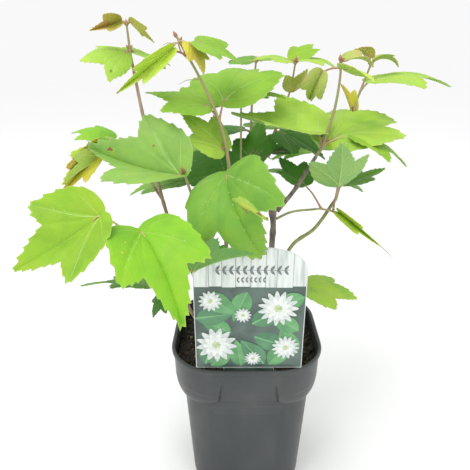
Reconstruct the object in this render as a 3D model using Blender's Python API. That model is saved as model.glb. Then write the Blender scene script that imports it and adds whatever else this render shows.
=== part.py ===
"""Potted snowball bush: a young shrub of thin canes and three-lobed leaves in a square pot.

Metres, +Z up, the label stands on the -Y side. The pot's underside is centred on the origin.
The plant's own sizes are given in millimetres and turned into metres by mm().
"""
import math
from collections import namedtuple

import bmesh
import bpy
import numpy as np

GAP = 0.0003

# Pot
POT_HEIGHT = 0.146
RIM_WIDTH = 0.130
RIM_CORNER = 0.042
LIP_HEIGHT = 0.004
COLLAR_WIDTH = 0.125
COLLAR_HEIGHT = 0.039
BODY_TOP_WIDTH = 0.1065
BODY_TOP_CORNER = 0.017
BODY_FOOT_WIDTH = 0.094
FOOT_CORNER = 0.014
FOOT_ROUND = 0.018
FOOT_INSET = 0.008
COLLAR_ROUND = 0.0115
WALL = 0.0022
FLOOR = 0.003
PANEL_SHARE = 0.30
PANEL_DEPTH = 0.0012
CORNER_STEPS = 5

# Compost
SOIL_LEVEL = 0.134
SOIL_MOUND = 0.002

# Label
LABEL_WIDTH = 0.084
LABEL_SIDE = 0.0845
LABEL_ARCH = 0.0223
LABEL_THICK = 0.0010
LABEL_LEAN = 3.0
LABEL_CENTRE = (0.001, -0.0590)
LABEL_SHOULDER = 2.6
TONGUE_WIDTH = 0.040
TONGUE_DEPTH = 0.018
SLOT_PLAY = 0.0010

# Leaf blade: reach from the stalk at each angle from the midrib, in blade lengths
BLADE_OUTLINE = ((0, 1.00), (12, 0.78), (26, 0.60), (45, 0.77), (68, 0.54), (108, 0.28), (180, 0.08))
BLADE_RINGS = (0.5, 1.0)
BLADE_MIDDLE = 0.28
BLADE_THICK = 0.0008
STALK_RADIUS = 0.0009
STALK_SINK = 0.12

# How far a shoot starts from the end of its cane, and how far it runs straight on, in mm
SHOOT_CLEAR = 0.36
SHOOT_STRAIGHT = 3.0

# How much wider a cane's foot is, and the height in metres over which the flare dies away
FOOT_FLARE = 0.45
FLARE_HEIGHT = 0.006

# A leaf's habit: bend along the midrib in degrees, fold about it in degrees, sag of the
# side lobes and width of the blade
Habit = namedtuple("Habit", "bend fold sag width")
HABITS = {
    "curled": Habit(120, 15, 0.35, 0.80),
    "young": Habit(75, 25, 0.30, 0.80),
    "fresh": Habit(45, 5, 0.30, 1.00),
    "broad": Habit(25, 5, 0.20, 1.00),
    "flat": Habit(5, 10, 0.10, 1.00),
    "keeled": Habit(25, 28, 0.10, 1.00),
    "folded": Habit(20, 58, 0.15, 0.65),
    "closed": Habit(30, 74, 0.05, 0.60),
    "cupped": Habit(-15, 20, 0.05, 1.00),
    "winged": Habit(-30, 66, 0.00, 1.10),
    "hung": Habit(47, -11, 0.61, 1.00),
    "draped": Habit(-30, 46, 0.52, 1.10),
    "pinched": Habit(5, 62, 0.35, 0.50),
    "hooded": Habit(57, 55, 0.89, 1.10),
}

# A leaf: its node as a share of the shoot, its heading in degrees (0 is +X, -90 the label's
# side), how far its stalk reaches out and up in mm, the blade's length in mm, the blade's
# pitch and roll in degrees, and its habit
Leaf = namedtuple("Leaf", "share heading reach rise blade pitch roll habit")

# A cane: its route in mm and its radius at the foot and at the end
Cane = namedtuple("Cane", "route foot end")

# A leafy shoot: the way on from its cane's end in mm, its end radius and its leaves
Shoot = namedtuple("Shoot", "cane route end leaves")

CANES = {
    "trunk": Cane([(14, 0, 134), (19, 0, 190), (22, 0, 240), (21, 0, 261)], 3.4, 2.2),
    "bough_right": Cane([(25, 0, 258), (40, 3, 277), (55, 4, 303)], 1.9, 1.4),
    "twig_right": Cane([(24.4, 1, 251), (38, 2, 257), (58, 3, 259)], 1.1, 0.9),
    "cane_left": Cane([(-30, -10, 134), (-44, -11, 200), (-64, -14, 258), (-78, -6, 325),
                       (-87, 2, 376)], 1.8, 1.1),
    "twig_left": Cane([(-67.4, -10.4, 270), (-84, 4, 290), (-96, 8, 302)], 1.1, 0.9),
    "cane_mid": Cane([(-8, 2, 134), (-18, 0, 235), (-16, -1, 276)], 1.9, 1.5),
    "cane_front": Cane([(-18, -14, 134), (-28, -16, 230), (-38, -20, 262)], 1.7, 1.3),
    "cane_low": Cane([(-22, -26, 134), (-44, -42, 185), (-56, -62, 225)], 1.7, 1.3),
    "cane_centre": Cane([(0, 14, 134), (-3, 18, 220), (-5, 23, 275)], 1.3, 1.0),
    "cane_back": Cane([(2, 32, 134), (3, 66, 225), (5, 82, 300)], 1.7, 1.3),
    "cane_inner": Cane([(14, 24, 134), (8, 42, 225), (15, 52, 284)], 1.5, 1.1),
    "cane_right": Cane([(26, 14, 134), (36, 14, 212), (60, 14, 238), (76, 20, 260)], 1.8, 1.5),
    "cane_low_right": Cane([(28, 26, 134), (38, 32, 155)], 1.4, 1.1),
    "cane_back_left": Cane([(-14, 34, 134), (-32, 58, 205), (-42, 70, 245)], 1.6, 1.2),
    "cane_back_right": Cane([(16, 40, 134), (24, 48, 190), (28, 64, 233), (47, 73, 254)], 1.6, 1.2),
}

SHOOTS = {
    "leaves_left_top": Shoot("cane_left", [(-89, 4, 400)], 0.7, [
        Leaf(0.30, 213, 3, -2, 35, 10, -36, "hung"),
        Leaf(0.30, 50, 4, -2, 36, 2, 15, "fresh"),
        Leaf(1.00, 193, 5, 2, 23, -18, -85, "winged"),
        Leaf(1.00, 8, 3, 2, 21, -41, -15, "flat"),
    ]),
    "leaves_side": Shoot("twig_left", [(-104, 9, 310), (-109, 8, 314)], 0.8, [
        Leaf(0.30, 215, 14, -2, 42, -10, 0, "closed"),
        Leaf(1.00, 215, 10, -3, 48, -43, -66, "folded"),
        Leaf(1.00, 166, 3, 3, 34, 28, -6, "fresh"),
    ]),
    "leaves_mid": Shoot("cane_mid", [(-15, -2, 298), (-21, -5, 329), (-34, -6, 360),
                                     (-52, -5, 392)], 0.8, [
        Leaf(0.12, -92, 39, 8, 79, -9, 29, "curled"),
        Leaf(0.30, 173, 3, -3, 42, 51, -23, "broad"),
        Leaf(0.46, 71, 11, 14, 69, 43, -2, "fresh"),
        Leaf(0.46, 172, 9, 11, 49, 20, -15, "broad"),
        Leaf(0.88, 190, 13, 3, 49, -36, -89, "pinched"),
        Leaf(0.92, -4, 11, 5, 35, -14, 17, "broad"),
        Leaf(0.97, -30, 9, -2, 24, -38, -1, "fresh"),
    ]),
    "leaves_front": Shoot("cane_front", [(-45, -22, 284), (-47, -38, 301)], 0.9, [
        Leaf(1.00, 153, 3, -3, 80, -1, -32, "draped"),
        Leaf(0.06, 215, 14, -12, 30, -18, -20, "broad"),
    ]),
    "leaves_low": Shoot("cane_low", [(-62, -82, 250), (-72, -94, 270)], 0.9, [
        Leaf(0.98, 194, 22, 19, 60, -35, -39, "cupped"),
        Leaf(0.95, -60, 4, 9, 69, -4, 5, "young"),
        Leaf(0.55, 188, 6, -16, 46, 15, 17, "broad"),
        Leaf(0.60, -4, 24, -8, 44, 30, -40, "folded"),
        Leaf(0.05, 215, 4, -12, 20, -30, 0, "fresh"),
    ]),
    "leaves_centre": Shoot("cane_centre", [(-5, 25, 310), (-5, 26, 350)], 0.7, [
        Leaf(0.05, 72, 28, 11, 44, 57, -18, "broad"),
        Leaf(0.05, 165, 12, 2, 52, 30, -30, "broad"),
        Leaf(1.00, -5, 3, -3, 34, 22, 5, "fresh"),
    ]),
    "leaves_back": Shoot("cane_back", [(6, 84, 338), (9, 80, 374)], 0.8, [
        Leaf(0.12, 45, 10, 4, 52, 5, 0, "broad"),
        Leaf(0.12, 190, 10, 4, 48, 5, 0, "broad"),
        Leaf(0.50, 110, 10, 6, 54, 15, 0, "broad"),
        Leaf(0.98, 150, 5, 1, 26, 20, -15, "fresh"),
        Leaf(0.98, 40, 6, 2, 34, 15, 0, "fresh"),
    ]),
    "leaves_inner": Shoot("cane_inner", [(27, 58, 318), (38, 60, 348), (42, 58, 374)], 0.7, [
        Leaf(0.10, 10, 8, 4, 32, 20, 5, "broad"),
        Leaf(0.34, 328, 8, 0, 46, -12, 10, "broad"),
        Leaf(0.76, -60, 4, -2, 26, 40, 0, "cupped"),
        Leaf(0.98, 48, 3, 4, 26, 50, 5, "fresh"),
        Leaf(0.98, -5, 5, 3, 32, 10, 5, "fresh"),
        Leaf(0.98, 195, 7, 3, 30, 20, -10, "fresh"),
    ]),
    "leaves_main": Shoot("bough_right", [(60, 4, 312), (67, 3, 340), (69, 1, 364), (68, 0, 376)], 0.8, [
        Leaf(0.12, 169, 4, 11, 71, 4, -12, "cupped"),
        Leaf(0.12, 24, 8, 5, 72, 33, 10, "fresh"),
        Leaf(0.14, 45, 12, 4, 36, 25, 10, "flat"),
        Leaf(0.14, -6, 24, 7, 49, -7, 3, "fresh"),
        Leaf(0.93, 160, 14, -4, 27, -64, -89, "hooded"),
        Leaf(0.98, 0, 4, 1, 24, 25, 15, "young"),
        Leaf(0.93, -45, 4, -1, 28, 5, -20, "fresh"),
    ]),
    "leaves_right": Shoot("cane_right", [(85, 32, 295), (93, 46, 335), (98, 49, 352),
                                         (104, 49, 371)], 0.8, [
        Leaf(0.10, 5, 6, 4, 36, 20, 0, "flat"),
        Leaf(0.68, 130, 3, -2, 27, 65, -18, "folded"),
        Leaf(0.82, -6, 9, 9, 65, 17, 3, "fresh"),
        Leaf(1.00, -5, 4, 4, 22, 25, 0, "young"),
        Leaf(1.00, 190, 2, 7, 20, 65, 20, "curled"),
    ]),
    "leaves_twig": Shoot("twig_right", [(70, 5, 257), (78, 6, 254)], 0.8, [
        Leaf(0.20, 135, 20, 18, 33, 35, -5, "flat"),
        Leaf(0.72, -98, 36, 33, 41, 48, 13, "cupped"),
        Leaf(1.00, -57, 3, 0, 43, -18, 57, "closed"),
    ]),
    "leaves_low_right": Shoot("cane_low_right", [(45, 36, 166), (52, 38, 174)], 0.8, [
        Leaf(1.00, -8, 8, -6, 50, 0, 5, "broad"),
    ]),
    "leaves_back_left": Shoot("cane_back_left", [(-48, 76, 262), (-54, 80, 284)], 0.8, [
        Leaf(0.40, 172, 14, 2, 58, 0, 0, "broad"),
        Leaf(0.40, 62, 10, 2, 50, -5, 0, "broad"),
        Leaf(0.98, 118, 8, 6, 52, 10, 0, "broad"),
        Leaf(0.98, 222, 8, 4, 38, 5, 0, "fresh"),
    ]),
    "leaves_back_right": Shoot("cane_back_right", [(60, 79, 268), (70, 84, 288)], 0.8, [
        Leaf(0.40, 100, 12, 2, 54, 0, 0, "broad"),
        Leaf(0.40, 10, 12, 2, 54, -5, 0, "broad"),
        Leaf(0.98, 55, 8, 6, 52, 10, 0, "broad"),
        Leaf(0.98, 165, 8, 4, 38, 5, 0, "fresh"),
    ]),
}


def mm(values):
    """Millimetres to metres, as an array."""
    return np.asarray(values, float) * 0.001


def clear_scene():
    """Remove every object that the scene starts with."""
    for old in list(bpy.data.objects):
        bpy.data.objects.remove(old, do_unlink=True)


def make_material(name, colour, roughness):
    """A plain non-metal surface."""
    made = bpy.data.materials.new(name)
    made.use_nodes = True
    shader = made.node_tree.nodes["Principled BSDF"]
    shader.inputs["Base Color"].default_value = (*colour, 1.0)
    shader.inputs["Roughness"].default_value = roughness
    shader.inputs["Metallic"].default_value = 0.0
    return made


def add_object(name, points, faces, place, material, parent):
    """A named object whose origin lies at `place` and whose points are given in the world."""
    mesh = bpy.data.meshes.new(name)
    mesh.from_pydata((np.asarray(points) - place).tolist(), [], faces)
    mesh.materials.append(material)
    mesh.update()
    made = bpy.data.objects.new(name, mesh)
    made.location = place
    made.parent = parent
    bpy.context.scene.collection.objects.link(made)
    return made


def smooth_route(knots, steps=3):
    """A curve that passes through the knots, with `steps` stretches from each to the next."""
    knots = np.asarray(knots, float)
    padded = np.vstack([2 * knots[0] - knots[1], knots, 2 * knots[-1] - knots[-2]])
    t = np.linspace(0, 1, steps, endpoint=False)[:, None]
    spans = []
    for before, start, end, after in zip(padded, padded[1:], padded[2:], padded[3:]):
        spans.append(0.5 * (2 * start + (end - before) * t
                            + (2 * before - 5 * start + 4 * end - after) * t ** 2
                            + (3 * start - before - 3 * end + after) * t ** 3))
    return np.vstack(spans + [knots[-1:]])


def shares_along(route):
    """Each point's distance along the route, from 0 at its start to 1 at its end."""
    walked = np.concatenate([[0], np.cumsum(np.linalg.norm(np.diff(route, axis=0), axis=1))])
    return walked / walked[-1]


def point_at(route, share):
    """The point that lies at `share` of the route's length."""
    along = shares_along(route)
    return np.array([np.interp(share, along, route[:, axis]) for axis in range(3)])


def limb_surface(route, radii, sides, level_foot=False):
    """Points and faces of a closed round limb along a route.

    Each ring stands square to the route. A level foot lies flat, as the limb leaves the soil.
    """
    way = np.gradient(route, axis=0)
    way /= np.linalg.norm(way, axis=1)[:, None]
    if level_foot:
        way[0] = (0, 0, 1)
    across = np.cross(way, (0.13, 0.97, 0.2))
    across /= np.linalg.norm(across, axis=1)[:, None]
    upward = np.cross(way, across)
    turn = 2 * np.pi * np.arange(sides) / sides
    rings = (route[:, None]
             + np.asarray(radii)[:, None, None] * (np.cos(turn)[None, :, None] * across[:, None]
                                                   + np.sin(turn)[None, :, None] * upward[:, None]))
    faces = [tuple(range(sides))[::-1]]
    for ring in range(len(route) - 1):
        for side in range(sides):
            a, b = ring * sides + side, ring * sides + (side + 1) % sides
            faces.append((a, b, b + sides, a + sides))
    faces.append(tuple(range((len(route) - 1) * sides, len(route) * sides)))
    return rings.reshape(-1, 3), faces


def leaf_axes(leaf):
    """The blade's midrib direction, its left side and its upper face."""
    heading, pitch, roll = np.radians([leaf.heading, leaf.pitch, leaf.roll])
    ahead = np.array([math.cos(pitch) * math.cos(heading), math.cos(pitch) * math.sin(heading),
                      math.sin(pitch)])
    level = np.array([-math.sin(heading), math.cos(heading), 0])
    square = np.cross(ahead, level)
    left = level * math.cos(roll) + square * math.sin(roll)
    return ahead, left, np.cross(ahead, left)


def leaf_hilt(leaf, route):
    """Where the blade starts: the end of its stalk."""
    heading = math.radians(leaf.heading)
    out = (leaf.reach * math.cos(heading), leaf.reach * math.sin(heading), leaf.rise)
    return point_at(route, leaf.share) + mm(out)


def bent_blade(flat, leaf, hilt):
    """Bend, fold and sag flat blade points, given in blade lengths, and set them in place."""
    habit = HABITS[leaf.habit]
    along, side = flat[:, 0], flat[:, 1] * habit.width
    curve = math.radians(habit.bend)
    fold = math.radians(habit.fold)
    angle = curve * np.maximum(along, 0)
    arc = np.where(along > 0, np.sin(angle) / curve, along)
    drop = -(1 - np.cos(angle)) / curve
    rise = np.abs(side) * math.sin(fold) - habit.sag * side ** 2
    ahead, left, up = leaf_axes(leaf)
    place = ((arc + rise * np.sin(angle))[:, None] * ahead
             + (side * math.cos(fold))[:, None] * left
             + (drop + rise * np.cos(angle))[:, None] * up)
    return hilt + leaf.blade * 0.001 * place


def blade_grid():
    """Flat points of the blade in blade lengths and the faces that join them.

    The first point lies on the midrib at BLADE_MIDDLE. Rings of one point at each angle of
    the outline widen from it, each from the tip round by the left lobe, the back, and the
    right lobe.
    """
    half = np.array(BLADE_OUTLINE, float)
    angles = np.radians(np.concatenate([half[:, 0], 360 - half[-2:0:-1, 0]]))
    reach = np.concatenate([half[:, 1], half[-2:0:-1, 1]])
    edge = reach[:, None] * np.stack([np.cos(angles), np.sin(angles)], 1)
    middle = np.array([[BLADE_MIDDLE, 0.0]])
    points = np.vstack([middle] + [middle + share * (edge - middle) for share in BLADE_RINGS])
    count = len(edge)
    faces = [(0, 1 + i, 1 + (i + 1) % count) for i in range(count)]
    for ring in range(len(BLADE_RINGS) - 1):
        first = 1 + ring * count
        for i in range(count):
            j = (i + 1) % count
            faces.append((first + i, first + count + i, first + count + j, first + j))
    return points, faces, count


def leaf_body(leaf, route):
    """A closed blade with an upper and a lower face."""
    flat, faces, count = blade_grid()
    middle = bent_blade(flat, leaf, leaf_hilt(leaf, route))
    normals = np.zeros_like(middle)
    for face in faces:
        a, b, c = middle[face[0]], middle[face[1]], middle[face[2]]
        normals[list(face)] += np.cross(b - a, c - a)
    normals *= 0.5 * BLADE_THICK / np.linalg.norm(normals, axis=1)[:, None]
    size = len(middle)
    last = size - count
    both = faces + [tuple(i + size for i in reversed(face)) for face in faces]
    for i in range(count):
        j = (i + 1) % count
        both.append((last + i, last + i + size, last + j + size, last + j))
    return np.vstack([middle + normals, middle - normals]), both


def stalk_body(leaf, route):
    """A leaf's stalk: it bows up from the shoot and runs on a little way under the midrib."""
    node = point_at(route, leaf.share)
    hilt = leaf_hilt(leaf, route)
    inside = bent_blade(np.array([[STALK_SINK, 0.0]]), leaf, hilt)[0]
    middle = 0.5 * (node + hilt) + np.array([0, 0, 0.08 * np.linalg.norm(hilt - node)])
    path = np.array([node, middle, hilt, inside])
    radii = STALK_RADIUS * np.array([1.2, 0.9, 0.6, 0.2])
    return limb_surface(path, radii, 3)


def join_mass(name, bodies, place, material, parent):
    """Join a shoot, its stalks and its blades into one closed body."""
    tools = bpy.data.collections.new(name + "_pieces")
    bpy.context.scene.collection.children.link(tools)
    whole = add_object(name, *bodies[0], place, material, parent)
    for points, faces in bodies[1:]:
        piece = add_object(name + "_piece", points, faces, place, material, parent)
        bpy.context.scene.collection.objects.unlink(piece)
        tools.objects.link(piece)
    union = whole.modifiers.new("join", "BOOLEAN")
    union.operation = "UNION"
    union.operand_type = "COLLECTION"
    union.solver = "MANIFOLD"
    union.collection = tools
    bpy.context.view_layer.objects.active = whole
    bpy.ops.object.modifier_apply(modifier=union.name)
    for piece in list(tools.objects):
        bpy.data.objects.remove(piece, do_unlink=True)
    bpy.data.collections.remove(tools)
    keep_main_shell(whole)
    return whole


def keep_main_shell(whole):
    """Drop loose scraps and sealed hollows, and split the faces into triangles."""
    shape = bmesh.new()
    shape.from_mesh(whole.data)
    bmesh.ops.dissolve_limit(shape, angle_limit=math.radians(1), verts=shape.verts, edges=shape.edges)
    bmesh.ops.triangulate(shape, faces=shape.faces)
    left = set(shape.verts)
    shells = []
    while left:
        shell, edge = set(), [left.pop()]
        while edge:
            vert = edge.pop()
            shell.add(vert)
            near = {link.other_vert(vert) for link in vert.link_edges} & left
            left -= near
            edge.extend(near)
        shells.append(shell)
    main = max(shells, key=len)
    bmesh.ops.delete(shape, geom=[v for v in shape.verts if v not in main], context="VERTS")
    shape.to_mesh(whole.data)
    shape.free()


def add_cane(name, cane, material, parent):
    """One tapering limb, flared at the foot where it stands on the soil."""
    route = mm(smooth_route(cane.route))
    rooted = cane.route[0][2] * 0.001 <= SOIL_LEVEL
    radii = mm(np.interp(shares_along(route), [0, 1], [cane.foot, cane.end]))
    if rooted:
        route[0, 2] = soil_height(route[0, 0], route[0, 1]) + GAP
        radii = radii * (1 + FOOT_FLARE * np.exp(-(route[:, 2] - route[0, 2]) / FLARE_HEIGHT))
    points, faces = limb_surface(route, radii, 6, level_foot=rooted)
    made = add_object(name, points, faces, route[0], material, parent)
    made.data.shade_smooth()
    made.data.set_sharp_from_angle(angle=math.radians(50))
    return made


def add_shoot(name, shoot, material, parent):
    """A leafy shoot that starts clear of its cane's end and carries its leaves."""
    cane = CANES[shoot.cane]
    end = smooth_route(cane.route)[-2:]
    way = (end[1] - end[0]) / np.linalg.norm(end[1] - end[0])
    start = end[1] + SHOOT_CLEAR * way
    straight = start + SHOOT_STRAIGHT * way
    route = mm(np.vstack([start, smooth_route([straight] + shoot.route, 2)]))
    radii = mm(np.interp(shares_along(route), [0, 1], [cane.end, shoot.end]))
    bodies = [limb_surface(route, radii, 5)]
    for leaf in shoot.leaves:
        bodies.append(stalk_body(leaf, route))
        bodies.append(leaf_body(leaf, route))
    return join_mass(name, bodies, route[0], material, parent)


def square_ring(width, corner, height, panel=0.0):
    """Points round a square with rounded corners, with each side's middle set in by `panel`."""
    half = 0.5 * width
    turn = np.linspace(0, 0.5 * np.pi, CORNER_STEPS + 1)
    inner = half - corner
    arc = np.stack([inner + corner * np.cos(turn), inner + corner * np.sin(turn)], 1)
    reach = PANEL_SHARE * width * 0.5
    side = np.array([[reach, half], [reach - 0.003, half - panel],
                     [0.003 - reach, half - panel], [-reach, half]])
    quarter = np.vstack([arc, side])
    rings = []
    for step in range(4):
        c, s = math.cos(step * math.pi / 2), math.sin(step * math.pi / 2)
        rings.append(quarter @ np.array([[c, s], [-s, c]]))
    flat = np.vstack(rings)
    return np.column_stack([flat, np.full(len(flat), height)])


def stacked_rings(rings):
    """One closed body from rings that run from its first cap to its last."""
    count = len(rings[0])
    faces = [tuple(range(count))[::-1]]
    for level in range(len(rings) - 1):
        for i in range(count):
            j = (i + 1) % count
            a, b = level * count, (level + 1) * count
            faces.append((a + i, a + j, b + j, b + i))
    top = (len(rings) - 1) * count
    faces.append(tuple(range(top, top + count)))
    return np.vstack(rings), faces


def body_width(height):
    """The pot body's outer width at a height below the collar."""
    share = height / (POT_HEIGHT - COLLAR_HEIGHT)
    return BODY_FOOT_WIDTH + (BODY_TOP_WIDTH - BODY_FOOT_WIDTH) * share


def body_corner(height):
    """The pot body's corner radius at a height below the collar."""
    share = height / (POT_HEIGHT - COLLAR_HEIGHT)
    return FOOT_CORNER + (BODY_TOP_CORNER - FOOT_CORNER) * share


def foot_ring(degrees):
    """A level of the rounded foot: a quarter of an oval from the underside to the side."""
    turn = math.radians(degrees)
    height = FOOT_ROUND * (1 - math.sin(turn))
    return height, body_width(height) - 2 * FOOT_INSET * (1 - math.cos(turn)), body_corner(height), 0


def collar_ring(degrees):
    """A level of the collar's curved underside, from the body out to the collar's side."""
    turn = math.radians(degrees)
    neck = POT_HEIGHT - COLLAR_HEIGHT
    out = math.sin(turn)
    width = BODY_TOP_WIDTH + (COLLAR_WIDTH - BODY_TOP_WIDTH) * out
    corner = BODY_TOP_CORNER + (RIM_CORNER - 0.003 - BODY_TOP_CORNER) * out
    return neck + COLLAR_ROUND * (1 - math.cos(turn)), width, corner, 0


def pot_rings():
    """The pot's outline from the underside up its outer side and down its inner side."""
    neck = POT_HEIGHT - COLLAR_HEIGHT
    lip = POT_HEIGHT - LIP_HEIGHT
    outer = [foot_ring(90), foot_ring(65), foot_ring(42), foot_ring(20), foot_ring(0),
             (0.021, body_width(0.021), body_corner(0.021), PANEL_DEPTH),
             (neck - 0.010, body_width(neck - 0.010), body_corner(neck - 0.010), PANEL_DEPTH),
             (neck - 0.007, body_width(neck - 0.007), body_corner(neck - 0.007), 0),
             collar_ring(0), collar_ring(22), collar_ring(45), collar_ring(68), collar_ring(90),
             (lip - 0.002, COLLAR_WIDTH + 0.001, RIM_CORNER - 0.003, 0),
             (lip, RIM_WIDTH, RIM_CORNER, 0),
             (POT_HEIGHT - 0.001, RIM_WIDTH, RIM_CORNER, 0),
             (POT_HEIGHT, RIM_WIDTH - 0.002, RIM_CORNER - 0.001, 0)]
    inner = [(POT_HEIGHT, COLLAR_WIDTH - 2 * WALL, RIM_CORNER - 0.005, 0)] + inner_levels()
    return [square_ring(w, r, z, p) for z, w, r, p in outer + inner]


def inner_levels(inset=0.0):
    """The levels of the pot's inner side, from the collar down to the floor."""
    neck = POT_HEIGHT - COLLAR_HEIGHT
    slim = 2 * (WALL + inset)
    hollow = 2 * PANEL_DEPTH
    return [(neck + 0.010, COLLAR_WIDTH - slim - 0.001, RIM_CORNER - 0.006, 0),
            (neck + 0.002, BODY_TOP_WIDTH - slim, BODY_TOP_CORNER - 0.002, 0),
            (neck - 0.010, body_width(neck - 0.010) - slim - hollow, BODY_TOP_CORNER - 0.002, 0),
            (FOOT_ROUND, body_width(FOOT_ROUND) - slim - hollow, FOOT_CORNER - 0.002, 0),
            (FLOOR + inset, body_width(FLOOR) - slim - hollow - 0.006, FOOT_CORNER - 0.002, 0)]


def add_pot(parent):
    """The square nursery pot with its collar and rolled rim."""
    points, faces = stacked_rings(pot_rings())
    material = make_material("pot_plastic", (0.075, 0.078, 0.080), 0.42)
    made = add_object("pot", points, faces, np.zeros(3), material, parent)
    made.data.shade_smooth()
    made.data.set_sharp_from_angle(angle=math.radians(35))
    return made


def soil_height(x, y):
    """The compost's height: a low mound that falls away to the pot's wall."""
    reach = 0.5 * (COLLAR_WIDTH - 0.008)
    bow = np.clip(1 - (x ** 2 + y ** 2) / reach ** 2, 0, 1)
    return SOIL_LEVEL + SOIL_MOUND * (bow - 1)


def add_soil(parent):
    """The compost that fills the pot, with a slot for the label's tongue."""
    levels = list(reversed(inner_levels(GAP)))
    rings = [square_ring(w, r, z) for z, w, r, _ in levels]
    brim = square_ring(levels[-1][1], levels[-1][2], 0.0)
    for share in (1.0, 0.72, 0.42, 0.14):
        ring = brim * share
        ring[:, 2] = soil_height(ring[:, 0], ring[:, 1])
        rings.append(ring)
    points, faces = stacked_rings(rings)
    material = make_material("compost", (0.045, 0.032, 0.024), 0.95)
    made = add_object("soil", points, faces, np.zeros(3), material, parent)
    cut_label_slot(made)
    return made


def cut_label_slot(soil):
    """Cut the slot that the label's tongue stands in."""
    depth = LABEL_THICK + 2 * GAP + SLOT_PLAY
    bottom = POT_HEIGHT - TONGUE_DEPTH - GAP
    top = POT_HEIGHT + TONGUE_DEPTH
    bpy.ops.mesh.primitive_cube_add(size=1)
    cutter = bpy.context.object
    cutter.name = "label_slot"
    cutter.scale = (TONGUE_WIDTH + 2 * GAP, depth, top - bottom)
    cutter.location = (*LABEL_CENTRE, 0.5 * (top + bottom))
    bpy.ops.object.transform_apply(location=False, rotation=False, scale=True)
    cutter.hide_render = True
    cutter.display_type = "WIRE"
    slot = soil.modifiers.new("slot", "BOOLEAN")
    slot.operation = "DIFFERENCE"
    slot.object = cutter
    bpy.context.view_layer.objects.active = soil
    bpy.ops.object.modifier_apply(modifier=slot.name)
    bpy.data.objects.remove(cutter, do_unlink=True)


def label_outline():
    """The card's outline from its lower left corner: tongue, sides, shoulders and arch."""
    half = 0.5 * LABEL_WIDTH
    tongue = 0.5 * TONGUE_WIDTH
    turn = np.linspace(0, math.pi, 15)
    power = 2 / LABEL_SHOULDER
    arch = [(half * np.sign(math.cos(t)) * abs(math.cos(t)) ** power,
             LABEL_SIDE + LABEL_ARCH * math.sin(t) ** power) for t in turn]
    foot = [(-half, 0), (-tongue, 0), (-tongue, -TONGUE_DEPTH), (tongue, -TONGUE_DEPTH),
            (tongue, 0), (half, 0)]
    return foot + arch


def add_label(parent):
    """The plant label: a card with an arched top that leans forward from the front wall."""
    outline = np.array(label_outline())
    lean = np.where(outline[:, 1] > 0, math.tan(math.radians(LABEL_LEAN)) * outline[:, 1], 0)
    count = len(outline)
    base = np.column_stack([outline[:, 0] + LABEL_CENTRE[0], LABEL_CENTRE[1] - lean,
                            outline[:, 1] + POT_HEIGHT + GAP])
    front = base - (0, 0.5 * LABEL_THICK, 0)
    back = base + (0, 0.5 * LABEL_THICK, 0)
    faces = [tuple(range(count)), tuple(range(2 * count - 1, count - 1, -1))]
    for i in range(count):
        j = (i + 1) % count
        faces.append((i, i + count, j + count, j))
    material = make_material("label_card", (0.62, 0.68, 0.66), 0.45)
    place = np.array([*LABEL_CENTRE, POT_HEIGHT])
    return add_object("label", np.vstack([front, back]), faces, place, material, parent)


def main():
    """Build the pot, its filling, the label, the canes and the leafy shoots."""
    clear_scene()
    root = bpy.data.objects.new("snowball_bush", None)
    bpy.context.scene.collection.objects.link(root)
    add_pot(root)
    add_soil(root)
    add_label(root)
    for name, cane in CANES.items():
        bark = make_material(name + "_bark", (0.22, 0.16, 0.12), 0.80)
        add_cane(name, cane, bark, root)
    for name, shoot in SHOOTS.items():
        green = make_material(name + "_green", (0.21, 0.42, 0.07), 0.55)
        add_shoot(name, shoot, green, root)


main()
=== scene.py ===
"""Potted snowball bush: its leaves, veins, stalks, bark, compost, pot and label.

Metres, +Z up, the label stands on the -Y side. Rows of plant sizes are in millimetres, and
mm() turns them into metres. Blade shapes are in blade lengths until set_blade() sets them.
"""

import math
from collections import namedtuple

import bpy
import numpy as np
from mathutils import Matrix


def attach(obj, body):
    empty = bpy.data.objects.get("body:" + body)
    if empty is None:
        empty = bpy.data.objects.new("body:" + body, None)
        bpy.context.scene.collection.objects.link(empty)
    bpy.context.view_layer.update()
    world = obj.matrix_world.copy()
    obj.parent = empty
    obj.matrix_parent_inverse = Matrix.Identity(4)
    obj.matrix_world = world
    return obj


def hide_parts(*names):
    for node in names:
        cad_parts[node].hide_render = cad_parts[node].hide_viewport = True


SEED = 20518

# Pot, compost and label, as the solids have them
POT_HEIGHT = 0.146
RIM_WIDTH = 0.130
RIM_CORNER = 0.042
LIP_HEIGHT = 0.004
COLLAR_WIDTH = 0.125
COLLAR_HEIGHT = 0.039
COLLAR_HIP = 0.0115
BODY_TOP_WIDTH = 0.1065
BODY_TOP_CORNER = 0.017
BODY_FOOT_WIDTH = 0.094
FOOT_CORNER = 0.014
FOOT_ROUND = 0.018
FOOT_INSET = 0.008
MOULDED_WALL = 0.0011
FLOOR = 0.003
PANEL_DEPTH = 0.0012
PANEL_SHARE = 0.62
PANEL_FOOT = 0.016
PANEL_HEAD = 0.006
SOIL_LEVEL = 0.134
SOIL_MOUND = 0.002
LABEL_WIDTH = 0.084
LABEL_SIDE = 0.0845
LABEL_ARCH = 0.0223
LABEL_THICK = 0.0010
LABEL_LEAN = 3.0
LABEL_CENTRE = (0.001, -0.0590)
GAP = 0.0003

# The label pocket pressed into the collar's front, and how wide its cheeks are
POCKET_CENTRE = 0.0012
POCKET_TOP = 0.1412
POCKET_FOOT = 0.1080
POCKET_TOP_HALF = 0.0205
POCKET_FOOT_HALF = 0.0252
POCKET_CHEEK = 0.0016
POCKET_SLANT = 1.3

# The label's print: where the planks end, and how far the picture keeps from the card's edge
PLANK_FOOT = 0.0746
PLANKS = 8
PRINT_MARGIN = 0.0005
PRINT_THICK = 0.00004
PRINT_LIFT = 0.00002

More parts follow.
